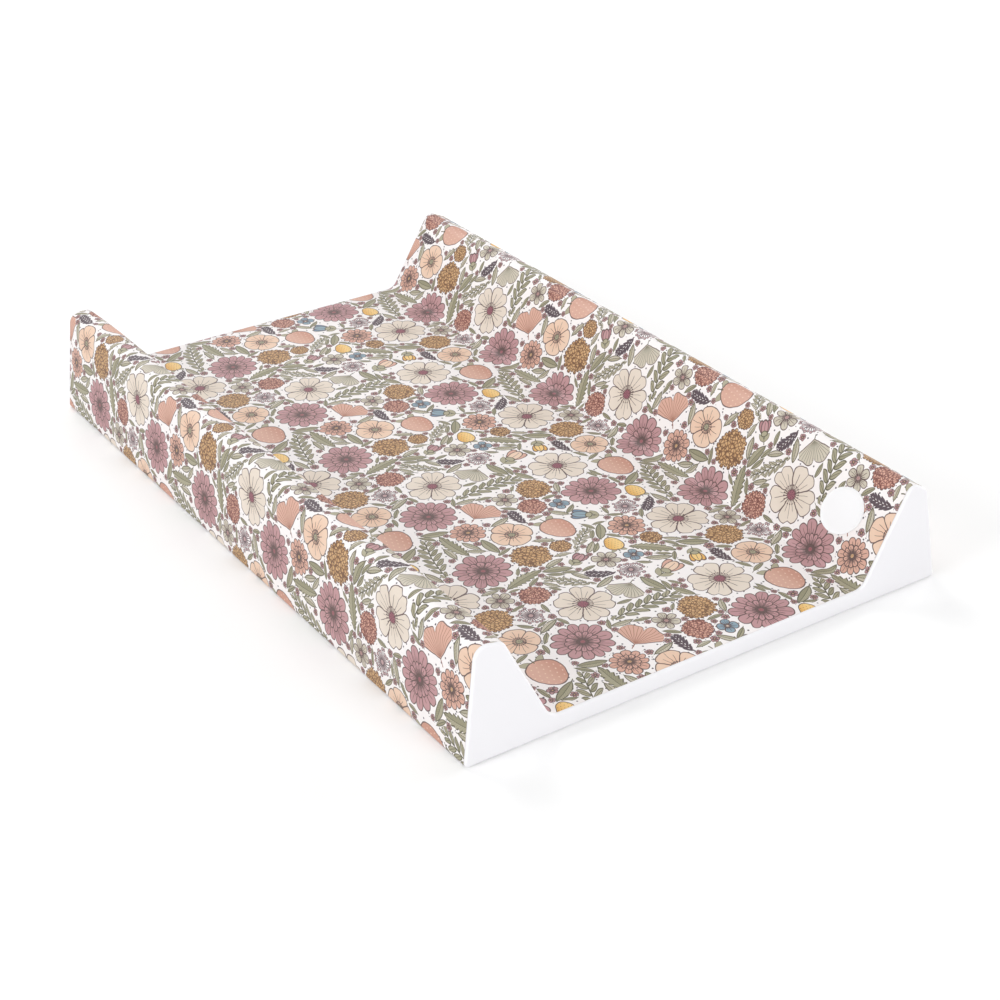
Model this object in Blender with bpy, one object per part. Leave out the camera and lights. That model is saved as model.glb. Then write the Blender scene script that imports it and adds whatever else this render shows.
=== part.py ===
"""Hard changing mat with raised sides: a board, three foam pieces and a welded film envelope.

The origin is on the floor under the middle of the mat. +Y runs along the mat, from the thin
foot end (front) to the thicker head end (rear), +X to the right and +Z up.
"""
import math

import bmesh
import bpy
from mathutils import Matrix, Vector

# Whole mat
mat_length = 0.800
mat_width = 0.500
wall_height = 0.106

# Section of a side wall, from its outer face to its foot
wall_lean = 0.0154
crest_width = 0.0246
crest_drop = 0.001
front_foot_distance = 0.085
rear_foot_distance = 0.094
shoulder_radius = 0.012
crest_radius = 0.0085
foot_radius = 0.014
base_radius = 0.003
smallest_radius = 0.0003

# Height of the lying surface at the two ends
front_lying_height = 0.0168
rear_lying_height = 0.0355

# Film envelope
film_thickness = 0.0005
piece_gap = 0.0003
rim_radius = 0.004
hem_width = 0.014
underside_setback = 0.0015

# Board
board_thickness = 0.003
board_setback = 0.005

# Air vents: eyelets through the bottom film and the board
vent_from_end = 0.150
vent_from_side = 0.130
vent_flange_radius = 0.006
vent_barrel_radius = 0.0035
vent_bore_radius = 0.0022

# Round label on the right slope
label_radius = 0.024
label_thickness = 0.0006
label_rim_width = 0.0009
label_rim_height = 0.0003
label_from_front = 0.053
label_down_share = 0.457

# Share of the rim's rounding that its lower edge takes, and where rings lie on its quarter turn
under_rim_share = 0.5
rim_turn_shares = (0.0, 0.25, 0.5, 0.75, 1.0)
foam_turn_shares = (0.0, 0.5, 1.0)

# Facets
corner_steps = 6
length_steps = 16
vent_steps = 24
label_steps = 48
cutter_overrun = 0.002

# Colours and finish
printed_colour = (0.86, 0.74, 0.68)
white_colour = (0.95, 0.95, 0.96)
label_colour = (0.97, 0.97, 0.98)
side_foam_colour = (0.93, 0.90, 0.80)
pad_foam_colour = (0.95, 0.93, 0.86)
board_colour = (0.45, 0.31, 0.19)
eyelet_colour = (0.90, 0.90, 0.90)
film_roughness = 0.42
foam_roughness = 0.95
board_roughness = 0.70
sharp_edge_degrees = 40.0

# Heights that the layers of the underside share
hem_level = film_thickness + piece_gap
board_level = hem_level + film_thickness + piece_gap
foam_level = board_level + board_thickness + piece_gap
skin_depth = film_thickness + piece_gap


def clear_scene():
    """Remove what a new file holds."""
    for old in list(bpy.data.objects):
        bpy.data.objects.remove(old, do_unlink=True)


def finish_colour(name, colour, roughness):
    """A plain Principled material for one kind of piece."""
    material = bpy.data.materials.new(name)
    material.use_nodes = True
    shader = material.node_tree.nodes["Principled BSDF"]
    shader.inputs["Base Color"].default_value = (*colour, 1.0)
    shader.inputs["Roughness"].default_value = roughness
    shader.inputs["Metallic"].default_value = 0.0
    material.diffuse_color = (*colour, 1.0)
    return material


def add_piece(name, mesh_builder, colour, roughness):
    """Turn a bmesh into a named object with its own material."""
    bmesh.ops.recalc_face_normals(mesh_builder, faces=mesh_builder.faces[:])
    mesh = bpy.data.meshes.new(name)
    mesh_builder.to_mesh(mesh)
    mesh_builder.free()
    piece = bpy.data.objects.new(name, mesh)
    bpy.context.scene.collection.objects.link(piece)
    mesh.materials.append(finish_colour(name + "_finish", colour, roughness))
    return piece


def shade_round(piece):
    """Smooth shading that keeps the sharp edges."""
    piece.data.shade_smooth()
    piece.data.set_sharp_from_angle(angle=math.radians(sharp_edge_degrees))


def between(first, second, share):
    """Value at a share of the way from first to second."""
    return first + (second - first) * share


def shifted_line(start, end, inset):
    """The line through two points, moved to the right of its direction by inset."""
    along = (end - start).normalized()
    aside = Vector((along.y, -along.x)) * inset
    return start + aside, end + aside


def meeting_point(first, second):
    """Where two lines cross, each given by two points."""
    p, q = first
    r, s = second
    d, e = q - p, s - r
    cross = d.x * e.y - d.y * e.x
    share = ((r.x - p.x) * e.y - (r.y - p.y) * e.x) / cross
    return p + d * share


def arc_at(before, corner, after, radius):
    """The rounding of one corner, as corner_steps + 1 points."""
    to_before = (before - corner).normalized()
    to_after = (after - corner).normalized()
    half_angle = to_before.angle(to_after) / 2
    reach = radius / math.tan(half_angle)
    centre = corner + (to_before + to_after).normalized() * radius / math.sin(half_angle)
    first = corner + to_before * reach - centre
    last = corner + to_after * reach - centre
    turn = first.angle_signed(last)
    return [centre + first @ Matrix.Rotation(turn * step / corner_steps, 2)
            for step in range(corner_steps + 1)]


def lying_height(share):
    """Height of the lying surface at a share of the length from the front."""
    return between(front_lying_height, rear_lying_height, share)


def wall_lines(share, inset):
    """Outer face, crest, slope and lying surface of the left wall, moved inwards by inset."""
    outer_foot = Vector((-mat_width / 2, hem_level))
    shoulder = outer_foot + Vector((wall_lean, wall_height - hem_level))
    crest = shoulder + Vector((crest_width, -crest_drop))
    foot_x = between(front_foot_distance, rear_foot_distance, share) - mat_width / 2
    foot = Vector((foot_x, lying_height(share)))
    middle = Vector((0.0, lying_height(share)))
    points = (outer_foot, shoulder, crest, foot, middle)
    return [shifted_line(points[i], points[i + 1], inset) for i in range(len(points) - 1)]


def level_line(height):
    """A level line, drawn towards the middle."""
    return Vector((-mat_width, height)), Vector((0.0, height))


def corner_radius(radius, inset):
    """Radius of an outward corner that lies inset below the skin."""
    return max(radius - inset, smallest_radius)


def left_corners(share, inset, base):
    """The four corners of the left half: base, shoulder, crest and foot."""
    outer, crest, slope, lying = wall_lines(share, inset)
    return [meeting_point(outer, level_line(base)), meeting_point(outer, crest),
            meeting_point(crest, slope), meeting_point(slope, lying)]


def left_outline(share, inset, base):
    """Rounded left half of the section, from the base corner to the foot."""
    corners = left_corners(share, inset, base)
    radii = (corner_radius(base_radius, inset), corner_radius(shoulder_radius, inset),
             corner_radius(crest_radius, inset), foot_radius + inset)
    path = [Vector((0.0, base)), *corners, Vector((0.0, lying_height(share) - inset))]
    outline = []
    for index, radius in enumerate(radii):
        outline += arc_at(path[index], path[index + 1], path[index + 2], radius)
    return outline


def mirrored(half):
    """A left half continued by its mirror image."""
    return half + [Vector((-point.x, point.y)) for point in reversed(half)]


def share_of(y):
    """Share of the length at a place along the mat."""
    return y / mat_length + 1 / 2


def ring_of_verts(mesh_builder, outline, y):
    """Vertices of a section outline at one place along the mat."""
    return [mesh_builder.verts.new((point.x, y, point.y)) for point in outline]


def join_rings(mesh_builder, first, second, closed):
    """Triangles between two rings, or two open rows, of equal count.

    All are split along the same diagonal, so that layers of a twisted slope stay apart.
    """
    count = len(first)
    for index in range(count if closed else count - 1):
        after = (index + 1) % count
        mesh_builder.faces.new((first[index], first[after], second[after]))
        mesh_builder.faces.new((first[index], second[after], second[index]))


def loft(outlines):
    """A closed solid through section outlines, given as (y, outline) from front to rear."""
    mesh_builder = bmesh.new()
    rings = [ring_of_verts(mesh_builder, outline, y) for y, outline in outlines]
    for first, second in zip(rings, rings[1:]):
        join_rings(mesh_builder, first, second, True)
    mesh_builder.faces.new(rings[0])
    mesh_builder.faces.new(list(reversed(rings[-1])))
    return mesh_builder


def quarter_turn(radius, shares):
    """Inset and depth along a rounding that starts at the end face, for a rim of rim_radius."""
    turns = [math.pi / 2 * share for share in shares]
    return [(rim_radius - radius * math.sin(turn), rim_radius - radius * math.cos(turn))
            for turn in turns]


def places_between(front, rear):
    """Even places along the mat, from front to rear."""
    return [between(front, rear, step / length_steps) for step in range(length_steps + 1)]


def foam_stations():
    """Places and insets of a foam piece's sections, rounded at both ends to fit the rims."""
    turn = quarter_turn(rim_radius - skin_depth, foam_turn_shares)
    front = [(-mat_length / 2 + depth, inset) for inset, depth in turn]
    rear = [(mat_length / 2 - depth, inset) for inset, depth in reversed(turn)]
    straight = places_between(front[-1][0], rear[0][0])[1:-1]
    return front + [(y, skin_depth) for y in straight] + rear


def foam_joint(share):
    """Where the side foam meets the centre pad: the foot of the slope, under the film."""
    return left_corners(share, skin_depth, hem_level)[-1].x


def side_foam_outline(share, inset):
    """Section of the left bolster."""
    slope = wall_lines(share, inset)[2]
    base_corner, shoulder, crest_corner, _ = left_corners(share, inset, foam_level)
    joint_x = foam_joint(share) - piece_gap / 2
    joint = (Vector((joint_x, foam_level)), Vector((joint_x, wall_height)))
    toe = meeting_point(slope, joint)
    outline = [base_corner]
    outline += arc_at(base_corner, shoulder, crest_corner, corner_radius(shoulder_radius, inset))
    outline += arc_at(shoulder, crest_corner, toe, corner_radius(crest_radius, inset))
    return outline + [toe, Vector((joint_x, foam_level))]


def pad_outline(share, inset):
    """Section of the centre pad."""
    edge = foam_joint(share) + piece_gap / 2
    top = lying_height(share) - inset
    return [Vector((edge, foam_level)), Vector((edge, top)), Vector((-edge, top)),
            Vector((-edge, foam_level))]


def build_foams():
    """The two side bolsters and the wedge between them."""
    stations = foam_stations()
    left = [(y, side_foam_outline(share_of(y), inset)) for y, inset in stations]
    right = [(y, [Vector((-point.x, point.y)) for point in reversed(outline)])
             for y, outline in left]
    pad = [(y, pad_outline(share_of(y), inset)) for y, inset in stations]
    for name, outlines in (("left_side_foam", left), ("right_side_foam", right)):
        shade_round(add_piece(name, loft(outlines), side_foam_colour, foam_roughness))
    add_piece("centre_foam_pad", loft(pad), pad_foam_colour, foam_roughness)


def cover_path(share, inset):
    """The printed film's section at an inset: hem, wall, slope, lying surface and back."""
    base = hem_level + inset
    hem_end = Vector((hem_width - mat_width / 2, base))
    return mirrored([hem_end] + left_outline(share, inset, base))


def build_top_cover():
    """One printed film over both walls and the lying surface, hemmed under the board."""
    mesh_builder = bmesh.new()
    front = rim_radius + piece_gap - mat_length / 2
    rings = []
    for y in places_between(front, -front):
        outside = cover_path(share_of(y), 0.0)
        inside = cover_path(share_of(y), film_thickness)
        rings.append((ring_of_verts(mesh_builder, outside, y),
                      ring_of_verts(mesh_builder, inside, y)))
    for (out, within), (next_out, next_within) in zip(rings, rings[1:]):
        join_rings(mesh_builder, out, next_out, False)
        join_rings(mesh_builder, within, next_within, False)
        for end in (0, -1):
            mesh_builder.faces.new((out[end], next_out[end], next_within[end], within[end]))
    join_rings(mesh_builder, *rings[0], False)
    join_rings(mesh_builder, *rings[-1], False)
    shade_round(add_piece("top_cover", mesh_builder, printed_colour, film_roughness))


def end_panel(name, end):
    """A white film tray that closes one end; end is -1 for the front and 1 for the rear."""
    outer = [(inset, depth, hem_level + inset * under_rim_share)
             for inset, depth in quarter_turn(rim_radius, rim_turn_shares)]
    inner = [(inset, depth, hem_level + film_thickness
              + (inset - film_thickness) * under_rim_share)
             for inset, depth in quarter_turn(rim_radius - film_thickness, rim_turn_shares)]
    mesh_builder = bmesh.new()
    rings = []
    for inset, depth, base in outer + inner[::-1]:
        y = (mat_length / 2 - depth) * end
        outline = mirrored(left_outline(share_of(y), inset, base))
        rings.append(ring_of_verts(mesh_builder, outline, y))
    for first, second in zip(rings, rings[1:]):
        join_rings(mesh_builder, first, second, True)
    mesh_builder.faces.new(rings[0])
    mesh_builder.faces.new(list(reversed(rings[-1])))
    shade_round(add_piece(name, mesh_builder, white_colour, film_roughness))


def plate(name, half_width, half_length, corner, bottom, thickness, colour, roughness):
    """A flat sheet with rounded corners."""
    signs = ((-1, -1), (-1, 1), (1, 1), (1, -1))
    corners = [Vector((half_width * i, half_length * j)) for i, j in signs]
    outline = []
    for index, point in enumerate(corners):
        after = corners[(index + 1) % len(corners)]
        outline += arc_at(corners[index - 1], point, after, corner)
    mesh_builder = bmesh.new()
    low = [mesh_builder.verts.new((p.x, p.y, bottom)) for p in outline]
    high = [mesh_builder.verts.new((v.co.x, v.co.y, bottom + thickness)) for v in low]
    join_rings(mesh_builder, low, high, True)
    mesh_builder.faces.new(low)
    mesh_builder.faces.new(high)
    return add_piece(name, mesh_builder, colour, roughness)


def vent_places():
    """Centres of the air vents on the underside."""
    across = mat_width / 2 - vent_from_side
    along = mat_length / 2 - vent_from_end
    return [Vector((i * across, j * along, 0.0)) for j in (-1, 1) for i in (-1, 1)]


def round_ring(mesh_builder, radius, height, steps):
    """A level ring of vertices round the Z axis."""
    turns = [math.tau * step / steps for step in range(steps)]
    return [mesh_builder.verts.new((radius * math.cos(turn), radius * math.sin(turn), height))
            for turn in turns]


def turned(profile, steps, place):
    """A closed ring turned from a closed profile of (radius, height) points."""
    mesh_builder = bmesh.new()
    rings = [round_ring(mesh_builder, radius, height, steps) for radius, height in profile]
    for index, ring in enumerate(rings):
        join_rings(mesh_builder, ring, rings[(index + 1) % len(rings)], True)
    bmesh.ops.translate(mesh_builder, verts=mesh_builder.verts[:], vec=place)
    return mesh_builder


def cut_vent_holes(piece, radius, bottom, top):
    """Cut one round hole in a plate for each air vent."""
    for number, place in enumerate(vent_places(), 1):
        mesh_builder = bmesh.new()
        middle = Vector((place.x, place.y, (bottom + top) / 2))
        bmesh.ops.create_cone(mesh_builder, cap_ends=True, segments=vent_steps, radius1=radius,
                              radius2=radius, depth=top - bottom + cutter_overrun * 2,
                              matrix=Matrix.Translation(middle))
        mesh = bpy.data.meshes.new("vent_cutter")
        mesh_builder.to_mesh(mesh)
        mesh_builder.free()
        cutter = bpy.data.objects.new(f"{piece.name}_vent_cutter_{number}", mesh)
        bpy.context.scene.collection.objects.link(cutter)
        cutter.hide_render = True
        cutter.display_type = "WIRE"
        cut = piece.modifiers.new(f"vent_hole_{number}", "BOOLEAN")
        cut.operation = "DIFFERENCE"
        cut.solver = "EXACT"
        cut.object = cutter


def build_underside():
    """Bottom film, board and the eyelets that pass through both."""
    half_film = (mat_width / 2 - underside_setback, mat_length / 2 - underside_setback)
    film = plate("bottom_cover", *half_film, rim_radius, 0.0, film_thickness,
                 white_colour, film_roughness)
    cut_vent_holes(film, vent_flange_radius + piece_gap, 0.0, film_thickness)
    half_board = (mat_width / 2 - board_setback, mat_length / 2 - board_setback)
    board = plate("base_board", *half_board, rim_radius, board_level, board_thickness,
                  board_colour, board_roughness)
    board_top = board_level + board_thickness
    cut_vent_holes(board, vent_barrel_radius + piece_gap, board_level, board_top)
    profile = ((vent_bore_radius, 0.0), (vent_flange_radius, 0.0),
               (vent_flange_radius, film_thickness), (vent_barrel_radius, film_thickness),
               (vent_barrel_radius, board_top), (vent_bore_radius, board_top))
    for number, place in enumerate(vent_places(), 1):
        eyelet = turned(profile, vent_steps, place)
        shade_round(add_piece(f"air_vent_{number}", eyelet, eyelet_colour, film_roughness))


def label_spot(y):
    """Point on the right slope, label_down_share of the way down, at a place along the mat."""
    crest, foot = left_corners(share_of(y), 0.0, hem_level)[-2:]
    spot = between(crest, foot, label_down_share)
    return Vector((-spot.x, y, spot.y))


def build_label():
    """A thin round patch with a raised rim, lying on the right slope."""
    rim_top = label_thickness + label_rim_height
    profile = ((label_radius, 0.0), (label_radius, label_thickness),
               (label_radius - label_rim_width / 2, rim_top),
               (label_radius - label_rim_width, label_thickness))
    mesh_builder = bmesh.new()
    rings = [round_ring(mesh_builder, radius, height, label_steps) for radius, height in profile]
    for first, second in zip(rings, rings[1:]):
        join_rings(mesh_builder, first, second, True)
    mesh_builder.faces.new(list(reversed(rings[0])))
    mesh_builder.faces.new(rings[-1])
    label = add_piece("round_label", mesh_builder, label_colour, film_roughness)
    shade_round(label)
    centre = label_spot(label_from_front - mat_length / 2)
    crest, foot = left_corners(share_of(centre.y), 0.0, hem_level)[-2:]
    along = (label_spot(0.0) - centre).normalized()
    down = Vector((crest.x - foot.x, 0.0, foot.y - crest.y)).normalized()
    outwards = along.cross(down).normalized()
    turn = Matrix((along, outwards.cross(along), outwards)).transposed().to_4x4()
    label.matrix_world = Matrix.Translation(centre + outwards * piece_gap) @ turn


def main():
    """Build the whole mat."""
    clear_scene()
    build_underside()
    build_foams()
    build_top_cover()
    end_panel("front_end_panel", -1)
    end_panel("rear_end_panel", 1)
    build_label()


main()
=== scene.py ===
"""Looks of a hard changing mat: printed film over foam walls, plain white ends, in soft light.

Everything is in metres, +Y from the thin foot end to the thick head end and +Z up. The print is
drawn in millimetres on the flat film.
"""

import math
from types import SimpleNamespace

import bmesh
import bpy
import numpy as np
from bpy.props import FloatProperty, FloatVectorProperty, IntProperty, PointerProperty
from mathutils import Matrix, Vector


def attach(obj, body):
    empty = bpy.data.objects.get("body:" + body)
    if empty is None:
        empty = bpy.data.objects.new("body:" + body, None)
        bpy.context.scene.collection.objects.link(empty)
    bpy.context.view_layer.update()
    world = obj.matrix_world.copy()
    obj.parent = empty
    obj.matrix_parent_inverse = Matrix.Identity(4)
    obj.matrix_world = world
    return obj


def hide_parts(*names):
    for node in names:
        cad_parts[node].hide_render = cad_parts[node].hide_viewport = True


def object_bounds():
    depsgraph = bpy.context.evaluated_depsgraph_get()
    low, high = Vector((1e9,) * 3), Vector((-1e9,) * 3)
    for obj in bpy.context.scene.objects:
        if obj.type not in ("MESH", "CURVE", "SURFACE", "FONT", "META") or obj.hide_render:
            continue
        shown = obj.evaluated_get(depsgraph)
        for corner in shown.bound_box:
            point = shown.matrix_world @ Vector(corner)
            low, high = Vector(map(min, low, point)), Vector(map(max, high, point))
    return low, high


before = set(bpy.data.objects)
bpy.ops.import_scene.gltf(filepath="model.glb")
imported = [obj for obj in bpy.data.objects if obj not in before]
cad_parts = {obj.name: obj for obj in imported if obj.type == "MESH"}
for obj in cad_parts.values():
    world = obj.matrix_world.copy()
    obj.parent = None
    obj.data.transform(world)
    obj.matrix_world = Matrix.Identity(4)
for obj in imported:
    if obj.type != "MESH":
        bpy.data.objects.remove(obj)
cad_low, cad_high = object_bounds()

bl_info = {
    "name": "Hard changing mat",
    "version": (1, 0, 0),
    "blender": (4, 5, 0),
    "location": "3D View > Sidebar > Changing Mat",
    "description": "Builds the film, foam, patch and stage of a changing mat with raised sides",
    "category": "Add Mesh",
}

BODY = "root"
MM = 0.001
TAU = math.tau
BAKE_MAP = "OFBake"
# Points nearer to each other than this are one
MERGE = 0.02 * MM


def value(name, description, default, **kind):
    """A number, or several, that a user can change."""
    if isinstance(default, tuple):
        return FloatVectorProperty(name=name, description=description, default=default,
                                   size=len(default), **kind)
    return FloatProperty(name=name, description=description, default=default, **kind)


def length(name, description, default):
    """A length, or one for the foot end and one for the head end."""
    return value(name, description, default, unit="LENGTH")


def share(name, description, default, subtype="FACTOR"):
    """A share from 0 to 1, or the three of a colour."""
    return value(name, description, default, min=0.0, max=1.0, subtype=subtype)


def angle(name, description, degrees):
    """An angle."""
    return value(name, description, math.radians(degrees), subtype="ANGLE")


class MatSizes(bpy.types.PropertyGroup):
    """Section and film sizes of the mat."""

    mat_length: length("Length", "End to end", cad_high.y - cad_low.y)
    mat_width: length("Width", "Outside of the walls at the floor", 0.500)
    lying_height: length("Lying height", "At the foot end and the head end", (0.0164, 0.0362))
    foot_radius: length("Foot rounding", "Rounding between slope and lying surface", 0.0140)
    base_radius: length("Base rounding", "Rounding where a wall meets the floor", 0.0030)
    puff: length("Puff", "How far the foam can push the film out", 0.0022)
    film: length("Film", "Thickness of the film", 0.0005)
    board: length("Board", "Thickness of the hardboard", 0.0030)
    gap: length("Gap", "Clearance between touching pieces", 0.0003)
    rim: length("Rim", "Rounding of the white ends", 0.0026)
    hem: length("Hem", "Printed film turned under the board", 0.0140)
    patch_radius: length("Patch radius", "Half of the patch's long axis", 0.0240)
    patch_film: length("Patch film", "Height of the patch's ring over the film", 0.0009)
    patch_rim: length("Patch rim", "Width of the welded ring of the patch", 0.0009)
    patch_raised: length("Patch ring", "How far the ring stands over the patch's face", 0.0003)
    patch_from_front: length("Patch place", "Patch centre from the foot end", 0.0530)
    patch_down: share("Patch down", "Share of the way down the right slope", 0.498)
    patch_oval: share("Patch oval", "Short axis of the patch over its long one", 0.88)
    patch_turn: angle("Patch turn", "Short axis off the slope's line", 26.0)


# Sizes of a wall's section, for the left and the right wall, each at foot and head end
WALL_SIZES = {
    "shoulder_height": ("Height of the outer corner", (0.1090, 0.1067), (0.0942, 0.1056)),
    "shoulder_place": ("How far that corner leans in", (0.0139, 0.0154), (0.0168, 0.0142)),
    "shoulder_radius": ("Rounding of that corner", (0.0118, 0.0121), (0.0118, 0.0103)),
    "crest_height": ("Height of the inner corner", (0.1030, 0.1051), (0.1050, 0.1178)),
    "crest_place": ("Outside to the inner corner", (0.0402, 0.0374), (0.0354, 0.0399)),
    "crest_radius": ("Rounding of that corner", (0.0101, 0.0080), (0.0093, 0.0098)),
    "foot_place": ("Outside to the slope's foot", (0.0824, 0.0917), (0.0866, 0.0917)),
}
for key, (words, *walls) in WALL_SIZES.items():
    for side, ends in zip(("left", "right"), walls):
        title = f"{side} {key}".replace("_", " ").capitalize()
        MatSizes.__annotations__[f"{side}_{key}"] = length(title, words, ends)


class PrintDesign(bpy.types.PropertyGroup):
    """Repeat and colours of the flower print."""

    repeat: length("Repeat", "Size of the pattern's square repeat", 0.250)
    gap: length("White gap", "Least white between two motifs", -0.0006)
    seed: IntProperty(name="Seed", description="Picks another layout", default=21)
    ground: share("Ground", "White of the film", (0.925, 0.884, 0.878), "COLOR")
    line: share("Lines", "Thin drawn outlines", (0.115, 0.072, 0.068), "COLOR")


class StageLight(bpy.types.PropertyGroup):
    """Camera and light."""

    azimuth: angle("Azimuth", "Camera round the mat", -32.456)
    elevation: angle("Elevation", "Camera above the horizon", 28.84)
    roll: angle("Roll", "Camera tilt", -1.805)
    distance: length("Distance", "Camera to the point it looks at", 1.8448)
    focal_px: value("Focal length", "In pixels of a 1000 pixel frame", 1956.5)
    sky: value("Sky", "Strength of the even light", 0.34)
    lamp_size: length("Lamp size", "Side of each square lamp", 2.2)
    lamp_distance: length("Lamp distance", "From the mat to each lamp", 3.3)
    lamp_aim: length("Lamp aim", "Height that the lamps face", 0.05)
    floor_size: length("Floor size", "Side of the square floor", 4.4)
    floor_drop: length("Floor drop", "Clearance between the mat and the floor", 0.0002)
    floor_tone: share("Floor tone", "How pale the floor is to the light it throws back", 0.70)
    floor_seen: share("Floor as seen", "How pale the floor is to the camera", 0.93)
    floor_glow: share("Floor glow", "How much paler than lit the camera sees the floor", 0.11)


# Azimuth and elevation of each lamp in degrees, and its power
LAMPS = {"left": (-90.0, 20.0, 57.5), "front": (0.0, 20.0, 49.0), "right": (90.0, 20.0, 46.0),
         "behind": (180.0, 46.0, 47.0)}
for name, (_, _, power) in LAMPS.items():
    StageLight.__annotations__[name] = value(name.capitalize(), "Power of this lamp", power,
                                             unit="POWER")

LOOK_AT = Vector((-0.0175, -0.0974, 0.03))
FRAME_PX = 1000.0


# Section of the mat

# Steps of each bend and of each straight stretch, from the hem to the middle
ARC_STEPS = {"base": 4, "shoulder": 9, "crest": 8, "foot": 8}
STRAIGHT_STEPS = {"hem": 1, "wall": 6, "top": 2, "slope": 6, "lying": 11}
LENGTH_STEPS = 40
HALF_COLUMNS = sum(ARC_STEPS.values()) + sum(STRAIGHT_STEPS.values())
# Settings of the cloth that the foam pushes out
PUSHED_CLOTH = {"vertex_group_mass": "held", "quality": 6, "mass": 0.15,
                "tension_stiffness": 30.0, "compression_stiffness": 30.0,
                "bending_stiffness": 4.0, "use_pressure": True, "uniform_pressure_force": 4.0}
CLOTH_FRAMES = 20


def sizes():
    """The mat's sizes as the scene holds them."""
    return bpy.context.scene.mat_sizes


def skin_depth():
    """From the film's outer face to the foam, and from the floor to the hem's outer face."""
    return sizes().film + sizes().gap


def foam_level():
    """Height of the foam's underside, on the board."""
    return 3 * sizes().gap + 2 * sizes().film + sizes().board


def share_of(y):
    """Share of the length at a place along the mat."""
    return y / sizes().mat_length + 1 / 2


def along_mat(ends, part):
    """Value between the foot end's and the head end's."""
    return ends[0] + (ends[1] - ends[0]) * part


def shifted(start, end, inset):
    """The line through two points, moved to the right of its direction."""
    along = (end - start).normalized()
    aside = Vector((along.y, -along.x)) * inset
    return start + aside, end + aside


def crossing(first, second):
    """Where two lines meet."""
    p, q = first
    r, s = second
    d, e = q - p, s - r
    return p + d * (((r.x - p.x) * e.y - (r.y - p.y) * e.x) / (d.x * e.y - d.y * e.x))


def arc(before, corner, after, radius, steps):
    """The rounding of a corner as steps + 1 points."""
    back = (before - corner).normalized()
    ahead = (after - corner).normalized()
    half = back.angle(ahead) / 2
    centre = corner + (back + ahead).normalized() * radius / math.sin(half)
    first = corner + back * (radius / math.tan(half)) - centre
    last = corner + ahead * (radius / math.tan(half)) - centre
    turn = first.angle_signed(last)
    return [centre + first @ Matrix.Rotation(turn * i / steps, 2) for i in range(steps + 1)]


def half_outline(side, part, inset=0.0, base=None):
    """The rounded base, shoulder, crest and foot of one half, drawn as a left half."""
    s = sizes()
    name = "left" if side < 0 else "right"
    wall = SimpleNamespace(**{key: along_mat(getattr(s, f"{name}_{key}"), part)
                              for key in WALL_SIZES})
    outside = -s.mat_width / 2
    lying = along_mat(s.lying_height, part)
    points = (Vector((outside, skin_depth())),
              Vector((outside + wall.shoulder_place, wall.shoulder_height)),
              Vector((outside + wall.crest_place, wall.crest_height)),
              Vector((outside + wall.foot_place, lying)), Vector((0.0, lying)))
    lines = [shifted(a, b, inset) for a, b in zip(points, points[1:])]
    base = skin_depth() if base is None else base
    floor = (Vector((-s.mat_width, base)), Vector((0.0, base)))
    path = [floor[1], crossing(lines[0], floor)]
    path += [crossing(a, b) for a, b in zip(lines, lines[1:])]
    path.append(Vector((0.0, lying - inset)))
    radii = [max(r - inset, s.gap)
             for r in (s.base_radius, wall.shoulder_radius, wall.crest_radius)]
    radii.append(s.foot_radius + inset)
    return [arc(*path[i:i + 3], radii[i], steps) for i, steps in enumerate(ARC_STEPS.values())]


def section(part, inset=0.0):
    """The film's section at a share of the length, from hem to hem, as rows of x and z."""
    s = sizes()
    base = skin_depth() + inset
    halves = []
    for side in (-1, 1):
        half = [Vector((s.hem - s.mat_width / 2, base))]
        *steps, last = STRAIGHT_STEPS.values()
        for piece, count in zip(half_outline(side, part, inset, base), steps):
            half += straight(half[-1], piece[0], count) + piece
        half += straight(half[-1], Vector((0.0, half[-1].y)), last)
        halves.append([(-side * p.x, p.y) for p in half])
    left, right = halves
    return np.array(left + [(0.0, left[-1][1])] + right[::-1])


def straight(start, end, steps):
    """Points inside a straight stretch."""
    return [start.lerp(end, i / steps) for i in range(1, steps)]


def column_of(stretch, end=0):
    """Column of the film's grid where a named stretch or bend starts, on the left half."""
    column = 0
    for flat, bend in zip(STRAIGHT_STEPS, [*ARC_STEPS, None]):
        for name, steps in ((flat, STRAIGHT_STEPS[flat]), (f"{bend}_bend", ARC_STEPS.get(bend))):
            if name == stretch:
                return column + end * steps
            column += steps or 0
    raise ValueError(f"no stretch named {stretch}")


def values(items, name, width=1, kind=float):
    """One number, or a row of them, for each item of a mesh."""
    found = np.zeros(len(items) * width, dtype=kind)
    items.foreach_get(name, found)
    return found.reshape(-1, width) if width > 1 else found


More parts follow.
